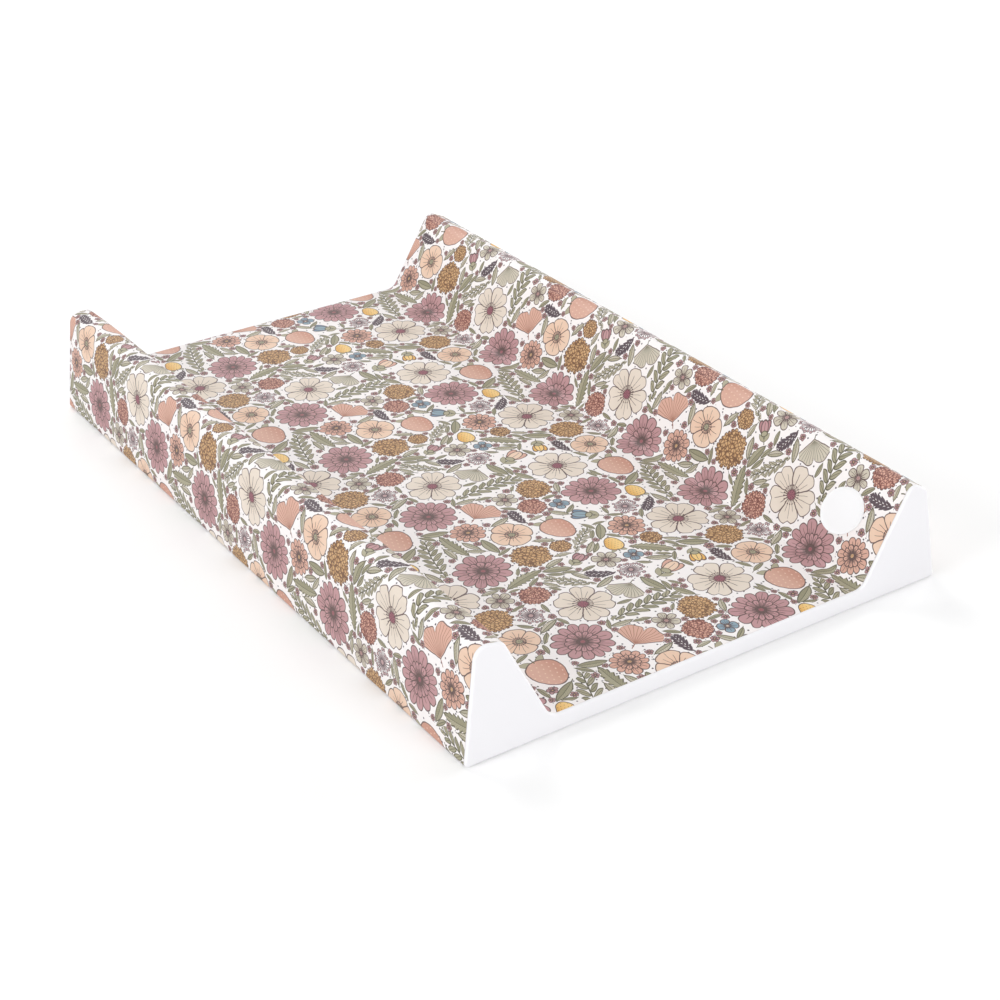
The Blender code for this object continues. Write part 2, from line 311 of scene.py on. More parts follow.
class FilmSurface:
    """The printed film's skin as a grid: across from hem to hem, and along the mat."""

    def __init__(self):
        s = sizes()
        end = s.mat_length / 2 - s.rim - s.gap
        self.along = np.linspace(-end, end, LENGTH_STEPS + 1)
        rows = [section(share_of(y)) for y in self.along]
        steps = np.hypot(*np.diff(rows[len(rows) // 2], axis=0).T)
        self.across = np.concatenate([[0.0], np.cumsum(steps)])
        self.points = np.array([[(x, y, z) for x, z in row] for y, row in zip(self.along, rows)])
        self.normals = self.directions()
        rise = self.simulated_rise()
        self.points += self.normals * rise[:, :, None]
        self.normals = self.directions()

    def directions(self):
        """Outward direction at each point of the grid."""
        out = np.cross(np.gradient(self.points, axis=1), np.gradient(self.points, axis=0))
        return out / np.linalg.norm(out, axis=2, keepdims=True)

    def held(self):
        """1 where the film is welded or turned under, and 0 elsewhere."""
        held = np.zeros(self.points.shape[:2])
        held[(0, -1), :] = 1.0
        under = column_of("wall")
        held[:, :under + 1] = held[:, -under - 1:] = 1.0
        return held

    def simulated_rise(self):
        """How far the foam pushes the film out, from a short cloth simulation, capped softly."""
        rows, columns = self.points.shape[:2]
        corner = np.arange(rows * columns).reshape(rows, columns)
        quads = np.stack([corner[:-1, :-1], corner[:-1, 1:], corner[1:, 1:], corner[1:, :-1]], 2)
        mesh = bpy.data.meshes.new("film_grid")
        mesh.from_pydata(self.points.reshape(-1, 3).tolist(), [], quads.reshape(-1, 4).tolist())
        grid = bpy.data.objects.new("film_grid", mesh)
        scene = bpy.context.scene
        scene.collection.objects.link(grid)
        group = grid.vertex_groups.new(name="held")
        group.add(np.flatnonzero(self.held()).tolist(), 1.0, "REPLACE")
        cloth = grid.modifiers.new("push", "CLOTH")
        for name, setting in PUSHED_CLOTH.items():
            setattr(cloth.settings, name, setting)
        cloth.settings.effector_weights.gravity = 0.0
        for number in range(CLOTH_FRAMES):
            scene.frame_set(number + 1)
        shape = grid.evaluated_get(bpy.context.evaluated_depsgraph_get()).data
        moved = values(shape.vertices, "co", 3).reshape(self.points.shape)
        scene.frame_set(1)
        bpy.data.objects.remove(grid)
        rise = ((moved - self.points) * self.normals).sum(axis=2)
        rise = np.maximum(rise, 0.0) * (1 - self.held())
        cap = sizes().puff
        return cap * np.tanh(rise / cap)

    def between(self, grid, flat):
        """Values of a grid at points of the flat film, given as across and along."""
        column = np.interp(flat[:, 0], self.across, np.arange(len(self.across)))
        row = np.interp(flat[:, 1], self.along, np.arange(len(self.along)))
        i = np.minimum(row.astype(int), len(self.along) - 2)
        j = np.minimum(column.astype(int), len(self.across) - 2)
        v = (row - i)[:, None]
        u = (column - j)[:, None]
        near = grid[i, j] * (1 - u) + grid[i, j + 1] * u
        far = grid[i + 1, j] * (1 - u) + grid[i + 1, j + 1] * u
        return near * (1 - v) + far * v

    def place(self, flat):
        """Points of the flat film on the skin, and the outward directions there."""
        out = self.between(self.normals, flat)
        return self.between(self.points, flat), out / np.linalg.norm(out, axis=1, keepdims=True)


# Formulas made of shader nodes

def put(tree, slot, value):
    """Link an output or a field to an input, or set the input to a number or a colour."""
    value = getattr(value, "socket", value)
    if isinstance(value, bpy.types.NodeSocket):
        tree.links.new(value, slot)
    else:
        slot.default_value = (*value, 1.0) if slot.type == "RGBA" else value


def add_node(tree, kind, inputs=(), **settings):
    """A shader node with its settings, and with its named inputs linked or set."""
    node = tree.nodes.new("ShaderNode" + kind)
    for name, setting in settings.items():
        setattr(node, name, setting)
    for name, value in dict(inputs).items():
        put(tree, node.inputs[name], value)
    return node


class Field:
    """A number worked out by shader nodes, so that a pattern reads like a formula."""

    def __init__(self, tree, socket):
        self.tree = tree
        self.socket = socket

    def maths(self, operation, *others, clamped=False):
        """This number, joined with others by one Math node."""
        node = add_node(self.tree, "Math", operation=operation, use_clamp=clamped)
        for slot, value in zip(node.inputs, (self, *others)):
            put(self.tree, slot, value)
        return Field(self.tree, node.outputs[0])

    def __rsub__(self, other):
        return self.maths("MULTIPLY_ADD", -1.0, other)

    def clamped(self):
        """The number held between 0 and 1."""
        return self.maths("MULTIPLY", 1.0, clamped=True)

    def inside(self, softness=0.12):
        """1 where the number is above zero and 0 below, over a soft edge."""
        return self.maths("MULTIPLY_ADD", 1.0 / softness, 0.5, clamped=True)

    def chance(self):
        """A random number from 0 to 1 for each whole number."""
        node = add_node(self.tree, "TexWhiteNoise", {"W": self}, noise_dimensions="1D")
        return Field(self.tree, node.outputs["Value"])


def joined_by(operation):
    """A method that joins a field with others by one kind of Math node."""
    return lambda self, *others: self.maths(operation, *others)


FIELD_METHODS = {"__add__": "ADD", "__radd__": "ADD", "__sub__": "SUBTRACT",
                 "__mul__": "MULTIPLY", "__rmul__": "MULTIPLY", "__truediv__": "DIVIDE",
                 "__mod__": "FLOORED_MODULO", "__pow__": "POWER", "__abs__": "ABSOLUTE",
                 "floor": "FLOOR", "fract": "FRACT", "root": "SQRT", "sine": "SINE",
                 "least": "MINIMUM", "most": "MAXIMUM", "soft_least": "SMOOTH_MIN"}
for name, operation in FIELD_METHODS.items():
    setattr(Field, name, joined_by(operation))


def distance(x, y):
    """Length of the vector (x, y)."""
    return (x * x + y * y).root()


def turned(x, y, angle):
    """A place seen from axes turned by an angle."""
    across, up = math.cos(angle), math.sin(angle)
    return x * across + y * up, y * across - x * up


def oval(x, y, centre, size, angle=0.0):
    """Depth inside an oval, negative outside it."""
    along, aside = turned(x - centre[0], y - centre[1], angle)
    return (1 - distance(along / size[0], aside / size[1])) * min(size)


class Picture:
    """A motif's colour, built up in coats on the white ground."""

    def __init__(self, tree, ground):
        self.tree = tree
        self.top = ground

    def coat(self, mask, colour):
        """Lay a colour, or another picture's colour, over what is there, through a mask."""
        node = add_node(self.tree, "Mix", {"Factor": mask}, data_type="RGBA")
        below, above = (s for s in node.inputs if s.type == "RGBA")
        put(self.tree, below, self.top)
        put(self.tree, above, colour)
        self.top = next(s for s in node.outputs if s.type == "RGBA")
        return self

    def filled(self, edge, colour, line, width=None):
        """Fill a shape, given as a depth inside its edge, and draw round it."""
        self.coat(edge.inside(), colour)
        return self.stroke(edge, line, width or OUTLINE)

    def stroke(self, off, line, width, where=None):
        """Draw a line, given as the distance off it, where a mask allows."""
        mask = (width / 2 - abs(off)).inside(0.2)
        return self.coat(mask * where if where else mask, line)


def mixed(tree, mask, first, second):
    """A colour between two."""
    return Picture(tree, first).coat(mask, second).top


def noise(tree, place, scale, detail):
    """Soft noise from 0 to 1."""
    node = add_node(tree, "TexNoise", {"Vector": place, "Scale": scale, "Detail": detail})
    return Field(tree, node.outputs["Fac"])


def cells(tree, place, scale, feature="F1", dimensions="3D"):
    """Distance to the middle, or to the edge, of the cell that a place is in."""
    node = add_node(tree, "TexVoronoi", {"Vector": place, "Scale": scale}, feature=feature,
                    voronoi_dimensions=dimensions)
    return Field(tree, node.outputs["Distance"])


# Motifs of the print. Each draws at a place in millimetres from its middle

# Width of the drawn lines, in millimetres
OUTLINE = 0.86
FINE = 0.52


def paint(red, green, blue):
    """A screen colour, 0 to 255, as the linear values that a shader takes."""
    return tuple((c / 255 / 12.92) if c < 10.3 else ((c / 255 + 0.055) / 1.055) ** 2.4
                 for c in (red, green, blue))


ROSE, ROSE_DEEP = paint(190, 148, 150), paint(172, 128, 132)
CREAM, CREAM_DEEP = paint(231, 219, 206), paint(214, 200, 185)
PLUM, PLUM_DEEP = paint(150, 96, 106), paint(104, 62, 74)
PEACH, PEACH_DEEP = paint(234, 206, 184), paint(222, 178, 152)
SALMON, SALMON_DEEP = paint(214, 171, 154), paint(200, 150, 132)
OCHRE, OCHRE_SHADE, OCHRE_DEEP = paint(222, 186, 140), paint(186, 146, 102), paint(116, 84, 62)
SALMON_LINE = paint(122, 76, 70)
YELLOW, YELLOW_DEEP = paint(240, 204, 136), paint(226, 176, 98)
BLUE, BLUE_DEEP = paint(142, 165, 177), paint(112, 136, 156)
GREIGE, GREIGE_DEEP = paint(204, 196, 180), paint(180, 171, 154)
MAUVE, MAUVE_DEEP = paint(186, 156, 156), paint(84, 68, 74)
SAGE, SAGE_DEEP = paint(172, 166, 142), paint(148, 144, 118)
OLIVE, RUST, SLATE = paint(92, 88, 68), paint(142, 86, 66), paint(92, 86, 94)
WHITE_FILM, PATCH_FILM = paint(247, 246, 249), paint(248, 249, 251)


def petals_round(x, y, count, seed=None):
    """Which petal a place is in, and how far it lies off its axis, from -1 to 1.

    With a seed, the petals are not quite alike in width.
    """
    angle = y.maths("ARCTAN2", x)
    turn = angle * (count / TAU) + 2 * count
    if seed is not None:
        turn = turn + ((angle * 2.0 + seed * 40.0).sine() * 0.012
                       + (angle * 3.0 + seed * 90.0).sine() * 0.009) * count
    return turn.floor() % count, turn.fract() * 2 - 1


def petal_ring(picture, x, y, seed, size, look, line):
    """One ring of petals, with a vein along the middle of each and two beside it."""
    petals = look.petals
    radius = distance(x, y)
    petal, aside = petals_round(x, y, petals, seed)
    chance = (petal + seed * 37.0).chance()
    reach = chance * (look.uneven * size) + size * (0.98 - look.uneven)
    off_axis = abs(aside)
    power, depth = look.tip_power, look.tip_depth
    tip = reach * (1 - off_axis ** power * depth)
    if look.notch:
        tip = tip - (0.3 - off_axis).most(0.0) * (size * look.notch)
    steep = off_axis ** (power - 1) * reach * (depth * power * petals / math.pi) / radius
    to_tip = (tip - radius) / (steep * steep + 1).root()
    along_arc = radius * (math.pi / petals)
    to_side = (look.spread - off_axis) * along_arc
    edge = to_side.soft_least(to_tip, look.soft)
    near = radius / reach
    shade = mixed(picture.tree, (0.75 - near) * 0.9, look.colour, look.deep)
    shade = mixed(picture.tree, chance * 0.25, shade, look.deep)
    picture.filled(edge, shade, line)
    for off, length in ((off_axis, 0.74), (abs(off_axis - 0.5), 0.52)):
        picture.stroke(off * along_arc, line, FINE * 0.85,
                       (chance * 0.2 + length - near).inside(0.06) * (to_side - 0.4).inside(0.4))


def draw_bloom(picture, x, y, seed, look, line):
    """A flower from above: one or two rings of petals, stamens and a dotted heart."""
    size = look.radius
    radius = distance(x, y)
    for number, part in enumerate(look.ring_shares):
        petal_ring(picture, x, y, seed + number * 0.37, size * part, look, line)
    heart = size * look.heart
    _, spoke = petals_round(x, y, look.stamens, seed)
    off_spoke = spoke * radius * (math.pi / look.stamens)
    picture.stroke(off_spoke, line, FINE, (heart * 1.75 - radius).inside())
    picture.coat((look.anther - distance(off_spoke, radius - heart * 1.75)).inside(), line)
    ragged = (spoke * 2.0).sine() * (heart * 0.10) + heart
    picture.filled(ragged - radius, look.heart_colour, line)
    _, dot = petals_round(x, y, 7.0)
    dots = 0.30 - distance((radius / 1.6).fract() - 0.5, dot * 0.5)
    picture.coat(dots.inside(0.1) * (heart - 0.5 - radius).inside(), look.heart_dots)


def draw_pompon(picture, x, y, seed, look, line):
    """A many-petalled head: short florets, packed without order."""
    size = look.radius
    radius = distance(x, y)
    petal, aside = petals_round(x, y, look.petals)
    chance = (petal + seed * 53.0).chance()
    edge = chance * (size * 0.14) + size * 0.86 - abs(aside) ** 3.0 * (size * 0.09) - radius
    place = add_node(picture.tree, "CombineXYZ", {"X": x, "Y": y, "Z": seed * 100.0}).outputs[0]
    to_middle, to_edge = (cells(picture.tree, place, 1.0 / look.floret, feature)
                          for feature in ("F1", "DISTANCE_TO_EDGE"))
    shade = mixed(picture.tree, to_middle * 1.5, look.colour, look.deep)
    picture.filled(edge, shade, line)
    picture.coat((look.stroke - to_edge * look.floret).inside(0.2) * edge.inside(), look.dark)


def draw_burst(picture, x, y, seed, look, line):
    """Thin spokes with a bead at the end of each."""
    size = look.radius
    radius = distance(x, y)
    petal, aside = petals_round(x, y, look.petals, seed)
    reach = (petal + seed * 71.0).chance() * (size * 0.30) + size * 0.60
    off = aside * radius * (math.pi / look.petals)
    picture.coat((size * 0.5 - radius).inside(0.6) * 0.6, look.colour)
    picture.stroke(off, look.dark, 0.7, (reach - radius).inside())
    picture.filled(look.bead - distance(off, radius - reach), look.colour, look.dark,
                   FINE)
    picture.filled(size * 0.17 - radius, look.deep, look.dark, FINE)


def on_stem(x, y, look):
    """Distance off a curved stem and which side of it a place is."""
    bow = (1 - (x / look.half_length) * (x / look.half_length)) \
        * (look.half_width * 0.22)
    off = y - bow + look.half_width * 0.11
    return off, abs(off), off.maths("SIGN")


def draw_sprig(picture, x, y, seed, look, line):
    """A curved stem with pairs of pointed leaves."""
    half, pitch = look.half_length, look.pitch
    off, up, side = on_stem(x, y, look)
    lean = math.radians(look.lean)
    along = (x - up / math.tan(lean)) / pitch + side * 0.25
    number = along.floor()
    across = (along.fract() - 0.5) * (pitch * math.sin(lean))
    chance = (number * 2.0 + side + seed * 29.0).chance()
    root = (number + 0.5) * (pitch / half)
    taper = (1 - root * root).most(0.02).root()
    leaf = taper * (chance * 0.25 + 0.75) * (look.half_width * 0.9 / math.sin(lean))
    part = up / math.sin(lean) / leaf
    width = part * (1 - part) * (4.0 * look.leaf_width)
    edge = (width - abs(across)).least((leaf * 2.0 - look.leaf_width) * 0.6)
    shade = mixed(picture.tree, chance, look.deep, look.colour)
    picture.filled(edge, shade, look.dark, look.line_width)
    picture.stroke(across, look.dark, FINE, (0.85 - part).inside(0.05))
    picture.stroke(up, look.dark, look.stem, (half * 0.93 - abs(x)).inside())


def draw_berries(picture, x, y, seed, look, line):
    """A stem with round berries on short stalks."""
    half, pitch, size = look.half_length, look.pitch, look.berry
    off, up, side = on_stem(x, y, look)
    along = x / pitch + side * 0.25
    across = (along.fract() - 0.5) * pitch
    root = (along.floor() + 0.5) * (pitch / half)
    lift = (1 - root * root).most(0.02).root() * (look.half_width - size * 1.2)
    held = (0.97 - abs(root)).inside(0.02)
    picture.stroke(across, look.dark, FINE, (lift - up).inside() * held)
    picture.stroke(up, look.dark, look.stem, (half * 0.9 - abs(x)).inside())
    edge = size - distance(across, up - lift)
    picture.coat(edge.inside() * held, look.colour)
    picture.stroke(edge, line, OUTLINE, held)


def draw_leaf(picture, x, y, seed, look, line):
    """One pointed leaf with a rib, side veins and, if wanted, a toothed edge."""
    half, wide = look.half_length * 0.97, look.half_width
    part = x * (0.5 / half) + 0.5
    off, up, side = on_stem(x, y, look)
    width = (part * (1.02 - part) * 4.0).most(0.0) ** 0.8 * (wide * 0.88)
    if look.teeth:
        tooth = (x / look.teeth + side * 0.25 + up * 0.1).fract()
        width = width * (tooth * 0.42 + 0.62)
    edge = (width - up) * 0.85
    shade = mixed(picture.tree, (side * 0.35 + 0.5).clamped(), look.deep, look.colour)
    picture.filled(edge, shade, look.dark, look.line_width)
    vein = ((x - up * 1.1) / look.pitch).fract() - 0.5
    picture.stroke(vein * look.pitch, look.dark, FINE * 0.7,
                   (edge - 0.5).inside(0.3) * 0.5)
    picture.stroke(off, look.dark, FINE, (half - abs(x)).inside())


def draw_fan(picture, x, y, seed, look, line):
    """A fan-shaped leaf on a short stalk, with veins that spread."""
    size = look.radius
    base_x = x + size * 0.62
    radius = distance(base_x, y)
    angle = y.maths("ARCTAN2", base_x)
    wave = (angle * 9.0 + seed * 20.0).sine() * (size * 0.05)
    cleft = (abs(angle) * -14.0).maths("EXPONENT") * (size * 0.35)
    rim = wave + size * 1.42 - cleft - radius
    edge = rim.soft_least((1.02 - abs(angle)) * radius, 2.0)
    picture.stroke(y, look.dark, 0.9, (0.0 - base_x).inside() * (x + size * 0.95).inside())
    picture.filled(edge, look.colour, line)
    vein = (angle * 6.5).fract() - 0.5
    picture.stroke(vein * radius / 6.5, look.dark, FINE, (edge - 1.1).inside(0.3) * 0.75)


def leaf_pair(picture, x, y, root, size, angle, look):
    """Two pointed leaves that spread from a stem."""
    for sign in (-1, 1):
        along, aside = turned(x - root, y, sign * angle)
        part = along / size
        edge = part * (1 - part) * (size * 0.85) - abs(aside)
        picture.filled(edge, look.leaf, look.dark, FINE)


def draw_bud(picture, x, y, seed, look, line):
    """A half-open flower on a stem with leaves, seen from the side."""
    size = look.radius
    picture.stroke(y, look.dark, 0.9, (x + size * 0.95).inside() * (0.0 - x).inside())
    leaf_pair(picture, x, y, -size * 0.72, size * 0.80, 0.66, look)
    for sign in (-1, 1):
        side = oval(x, y, (size * 0.40, sign * size * 0.24), (size * 0.55, size * 0.26),
                    sign * 0.32)
        picture.filled(side, look.deep, line)
    middle = oval(x, y, (size * 0.36, 0.0), (size * 0.58, size * 0.32))
    picture.filled(middle, look.colour, line)
    picture.stroke(y, line, FINE, (middle - size * 0.10).inside())
    cup = oval(x, y, (-size * 0.10, 0.0), (size * 0.20, size * 0.28))
    picture.filled(cup, look.leaf, look.dark)


def draw_fruit(picture, x, y, seed, look, line):
    """A rounded, dotted fruit with two leaves at its stalk."""
    size = look.radius
    leaf_pair(picture, x, y, -size * 0.46, size * 0.72, 2.20, look)
    narrow = 1 - (x / size) * 0.22
    body = oval(x, y / narrow, (size * 0.14, 0.0), (size * 0.84, size * look.plump))
    shade = mixed(picture.tree, ((y / size) * 1.6 + 0.3).clamped(), look.colour, look.deep)
    picture.filled(body, shade, line)
    row = x / look.seeds
    shift = (row.floor() % 2.0) * 0.5
    seed_off = distance(row.fract() - 0.5, ((y / look.seeds + shift).fract() - 0.5) * 1.5)
    picture.coat((0.15 - seed_off).inside(0.06) * (body - 1.2).inside(0.4), look.seed_colour)
    picture.stroke(y, look.dark, 1.0, (x + size * 0.95).inside()
                   * (-size * 0.6 - x).inside())


# What the kinds of motif have in common
BLOOM = dict(draw=draw_bloom, uneven=0.10, tip_power=2.6, tip_depth=0.20, spread=1.0, soft=1.0,
             heart=0.15, stamens=17.0, anther=0.8, heart_colour=OCHRE, heart_dots=RUST,
             notch=0.0, ring_shares=(1.0,))
POSY = dict(BLOOM, tip_depth=0.38, soft=2.2, heart=0.17, stamens=11.0, uneven=0.05, anther=0.6)
POMPON = dict(draw=draw_pompon, petals=24.0, floret=3.0, stroke=0.30)
SPRIG = dict(draw=draw_sprig, dark=OLIVE, stem=1.1, line_width=OUTLINE)
LEAF = dict(draw=draw_leaf, dark=OLIVE, pitch=2.6, line_width=OUTLINE, teeth=0.0)
BUD = dict(draw=draw_bud, leaf=SAGE, dark=OLIVE)
FRUIT = dict(draw=draw_fruit, leaf=SAGE, dark=OLIVE, seeds=3.2, plump=0.66)
BERRIES = dict(draw=draw_berries, dark=OLIVE, stem=0.9)
FAN, BURST = dict(draw=draw_fan), dict(draw=draw_burst)


def motif(base, size, colour, deep=None, count=0, **more):
    """A kind of motif: its base, its radius or half length and width, its colours and the rest."""
    half_length, half_width = size if isinstance(size, tuple) else (size, size)
    return SimpleNamespace(**{**base, "radius": half_length, "half_length": half_length,
                              "half_width": half_width, "colour": colour, "deep": deep,
                              "count": count, **more})


# Large motifs come first, with how many one repeat holds, in the order of planting
MOTIFS = {
    "rose_dahlia": motif(BLOOM, 26.5, ROSE, ROSE_DEEP, count=3, petals=13.0, heart=0.09,
        heart_colour=PLUM, ring_shares=(1.0, 0.56)),
    "cream_rose": motif(BLOOM, 29.5, CREAM, CREAM_DEEP, count=3, petals=5.0, tip_depth=0.2,
        tip_power=3.4, spread=0.985, soft=5.0, heart=0.17, heart_colour=PLUM, heart_dots=PLUM_DEEP,
        notch=0.34, stamens=19.0),
    "leafy_spray": motif(SPRIG, (34.0, 13.0), SAGE, SAGE_DEEP, count=2, pitch=9.0, lean=48.0,
        leaf_width=2.7),
    "ochre_pompon": motif(POMPON, 18.5, OCHRE, OCHRE_SHADE, count=3, dark=OCHRE_DEEP),
    "peach_poppy": motif(BLOOM, 20.5, PEACH, PEACH_DEEP, count=2, petals=4.0, spread=1.0, soft=2.5,
        tip_depth=0.13, tip_power=3.6, heart=0.16, heart_colour=SAGE, heart_dots=OLIVE,
        stamens=19.0),
    "salmon_pear": motif(FRUIT, 21.0, SALMON, SALMON_DEEP, count=2, seed_colour=PEACH, seeds=5.0,
        plump=0.7),
    "salmon_fan": motif(FAN, 19.5, SALMON, count=1, dark=RUST),
    "salmon_dahlia": motif(BLOOM, 18.0, SALMON, SALMON_DEEP, count=2, petals=11.0,
        ring_shares=(1.0, 0.6), heart=0.11, stamens=11.0),
    "salmon_pompon": motif(POMPON, 15.0, SALMON, SALMON_DEEP, count=2, petals=20.0, floret=2.6,
        dark=SALMON_LINE),
    "peach_bud": motif(BUD, 17.5, PEACH, SALMON, count=1),
    "mauve_burst": motif(BURST, 13.0, MAUVE, MAUVE, count=3, petals=23.0, bead=1.3,
        dark=MAUVE_DEEP),
    "greige_flower": motif(POSY, 13.0, GREIGE, GREIGE_DEEP, count=3, petals=6.0, stamens=14.0,
        heart_colour=MAUVE),
    "blue_bell": motif(BUD, 14.5, BLUE, BLUE_DEEP, count=1),
    "yellow_lemon": motif(FRUIT, 13.5, YELLOW, YELLOW_DEEP, count=2, seed_colour=OCHRE_DEEP),
    "greige_fan": motif(FAN, 16.0, GREIGE, count=1, dark=OLIVE),
    "dusky_twig": motif(SPRIG, (14.0, 8.0), SLATE, MAUVE_DEEP, count=4, pitch=4.2, leaf_width=1.25,
        lean=40.0, stem=1.2, dark=MAUVE_DEEP, line_width=FINE),
    "toothed_leaf": motif(LEAF, (22.0, 7.6), SAGE, SAGE_DEEP, count=3, teeth=5.4),
    "fine_spray": motif(SPRIG, (22.0, 9.0), GREIGE, SAGE, count=2, pitch=6.0, leaf_width=1.7,
        lean=42.0, stem=0.9, line_width=FINE),
    "yellow_bud": motif(BUD, 13.5, YELLOW, YELLOW_DEEP, count=1),
    "rosy_bud": motif(BUD, 12.5, ROSE, ROSE_DEEP, count=1),
    "small_ochre": motif(POMPON, 11.0, OCHRE, OCHRE_SHADE, count=2, petals=18.0, floret=2.4,
        dark=OCHRE_DEEP),
    "berry_spray": motif(BERRIES, (19.0, 8.0), ROSE, count=1, pitch=7.4, berry=2.6),
    "blue_flower": motif(POSY, 9.5, BLUE, BLUE_DEEP, count=2, petals=4.0, heart_colour=CREAM),
    "big_leaf": motif(LEAF, (14.0, 5.0), SAGE, SAGE_DEEP, count=4),
    "yellow_flower": motif(POSY, 10.5, YELLOW, YELLOW_DEEP, petals=7.0, stamens=9.0),
    "mauve_pompon": motif(POMPON, 9.0, MAUVE, GREIGE, petals=15.0, floret=2.2, dark=MAUVE_DEEP),
    "salmon_flower": motif(POSY, 9.5, PEACH, SALMON, petals=5.0, soft=1.6),
    "greige_leaf": motif(LEAF, (11.0, 3.6), GREIGE, SAGE),
    "rosy_flower": motif(POSY, 6.0, ROSE, ROSE, petals=5.0, soft=1.2, heart=0.2, stamens=5.0,
        anther=0.3),
    "ochre_posy": motif(POSY, 6.0, YELLOW, OCHRE, petals=8.0, soft=1.2, heart=0.24, stamens=8.0,
        heart_colour=RUST),
    "cream_posy": motif(POSY, 6.0, CREAM, GREIGE, petals=6.0, soft=1.2, heart=0.24, stamens=8.0,
        heart_colour=PLUM),
    "slim_leaf": motif(LEAF, (7.5, 2.3), SAGE, SAGE_DEEP, pitch=1.8, line_width=FINE),
}
NAMES = list(MOTIFS)
# What fills the gaps between the large motifs, in turn, sized to fit
LONG_FILLERS = {"big_leaf": 4, "greige_leaf": 20, "slim_leaf": 50}
ROUND_FILLERS = ("salmon_flower", "mauve_pompon", "rosy_flower", "yellow_flower", "cream_posy",
                 "greige_flower", "small_ochre", "ochre_posy", "salmon_dahlia", "blue_flower")
FILLER_SCALES = (0.55, 1.15)
LARGE_SCALES = (0.98, 1.10)
SMALLEST_FLOWER = 3.1
# How many spots are tried for a motif, and the grid of the map of room, in millimetres
TRIES = 3000
MAP_STEP = 0.8
# Distance to the same kind as a share of even spacing, and what each millimetre less counts
SAME_KIND_APART = 0.75
SAME_KIND_WEIGHT = 2.0
# Small dots strewn over the ground, in millimetres
SPECK_SPACING = 9.0
SPECK_RADIUS = 0.85
# How far a motif's edge sways, as a share of its half width and at most, in millimetres
SWAY = 0.09
MOST_SWAY = 1.6
# Largest half side of a circle's patch of print, as a share of the repeat
PATCH_REACH = 0.45


def chains(look, spots, scales):
    """Circles (x, y, radius) that hold a motif, for each spot (x, y, angle) and scale."""
    half, width = look.half_length, look.half_width
    count = 1 + 2 * math.ceil((half - width) / (width * 1.5))
    parts = np.linspace(-1, 1, count) if count > 1 else np.zeros(1)
    radii = width * np.sqrt(1 - (parts * 0.85) ** 2)
    steps = parts * (half - radii[0])
    steps = steps * scales[:, None]
    x = spots[:, :1] + np.cos(spots[:, 2:]) * steps
    y = spots[:, 1:2] + np.sin(spots[:, 2:]) * steps
    return np.stack([x, y, radii * scales[:, None]], axis=2)


class Bed:
    """One square repeat of the print, in millimetres, with a map of the room that is left."""

    def __init__(self, design):
        self.chance = np.random.default_rng(design.seed)
        self.repeat = design.repeat / MM
        self.gap = design.gap / MM
        count = int(self.repeat / MAP_STEP)
        self.ticks = (np.arange(count) + 0.5) * self.repeat / count
        self.room = np.full((count, count), self.repeat)
        self.circles = []
        self.owners = []
        self.motifs = []

    def wrapped(self, apart):
        """Differences across the repeat's edges."""
        return (apart + self.repeat / 2) % self.repeat - self.repeat / 2

    def clearance(self, rings):
        """Least room round each chain of circles."""
        cells = (rings[..., :2] / self.repeat * len(self.ticks)).astype(int) % len(self.ticks)
        return (self.room[cells[..., 1], cells[..., 0]] - rings[..., 2]).min(axis=1)

    def spots(self):
        """Random spots: x, y and angle."""
        return self.chance.random((TRIES, 3)) * (self.repeat, self.repeat, TAU)

    def from_same(self, name, spots):
        """How far each spot is from the nearest motif of its kind."""
        same = np.array([m[1:3] for m in self.motifs if m[0] == NAMES.index(name)])
        if not len(same):
            return np.zeros(len(spots))
        apart = self.wrapped(spots[:, None, :2] - same[None])
        return np.hypot(apart[..., 0], apart[..., 1]).min(axis=1)

    def plant(self, name, spot, scale, rings):
        """Put a motif down and take its room off the map."""
        for x, y, radius in rings:
            far = np.hypot(self.wrapped(self.ticks - x)[None, :],
                           self.wrapped(self.ticks - y)[:, None])
            np.minimum(self.room, far - radius, out=self.room)
            self.circles.append((x, y, radius))
            self.owners.append(len(self.motifs))
        self.motifs.append((NAMES.index(name), *spot, float(scale), float(self.chance.random())))

    def plant_best(self, name, scales, apart=0.0):
        """Plant a motif, and say whether it found room.

        It goes where it fits best and is this far from its kind, or, with no distance given,
        as large as it can be.
        """
        spots = self.spots()
        scale = self.chance.uniform(*scales, TRIES)
        rings = chains(MOTIFS[name], spots, scale)
        room = self.clearance(rings)
        near = np.maximum(apart - self.from_same(name, spots), 0.0)
        score = room + near * SAME_KIND_WEIGHT if apart else room - scale * TRIES
        score = np.where(room >= self.gap, score, np.inf)
        pick = int(score.argmin())
        if math.isinf(score[pick]):
            return False
        self.plant(name, spots[pick], scale[pick], rings[pick])
        return True

    def plant_in_hole(self, names, least):
        """Plant the round motif that suits the largest hole, and say whether one was left."""
        j, i = np.unravel_index(int(self.room.argmax()), self.room.shape)
        radius = self.room[j, i] - self.gap
        if radius < least:
            return False
        spot = np.array((self.ticks[i], self.ticks[j], self.chance.random() * TAU))
        fits = [n for n in names if MOTIFS[n].radius * FILLER_SCALES[0] <= radius] or names
        name = max(fits, key=lambda n: self.suits(n, spot, radius))
        scale = min(radius / MOTIFS[name].radius, FILLER_SCALES[1])
        self.plant(name, spot, scale, chains(MOTIFS[name], spot[None], np.array([scale]))[0])
        return True

    def suits(self, name, spot, radius):
        """How well a kind suits a hole: its size, and how far the next of its kind is."""
        misfit = abs(math.log(radius / MOTIFS[name].radius))
        return self.from_same(name, spot[None])[0] / self.repeat - misfit


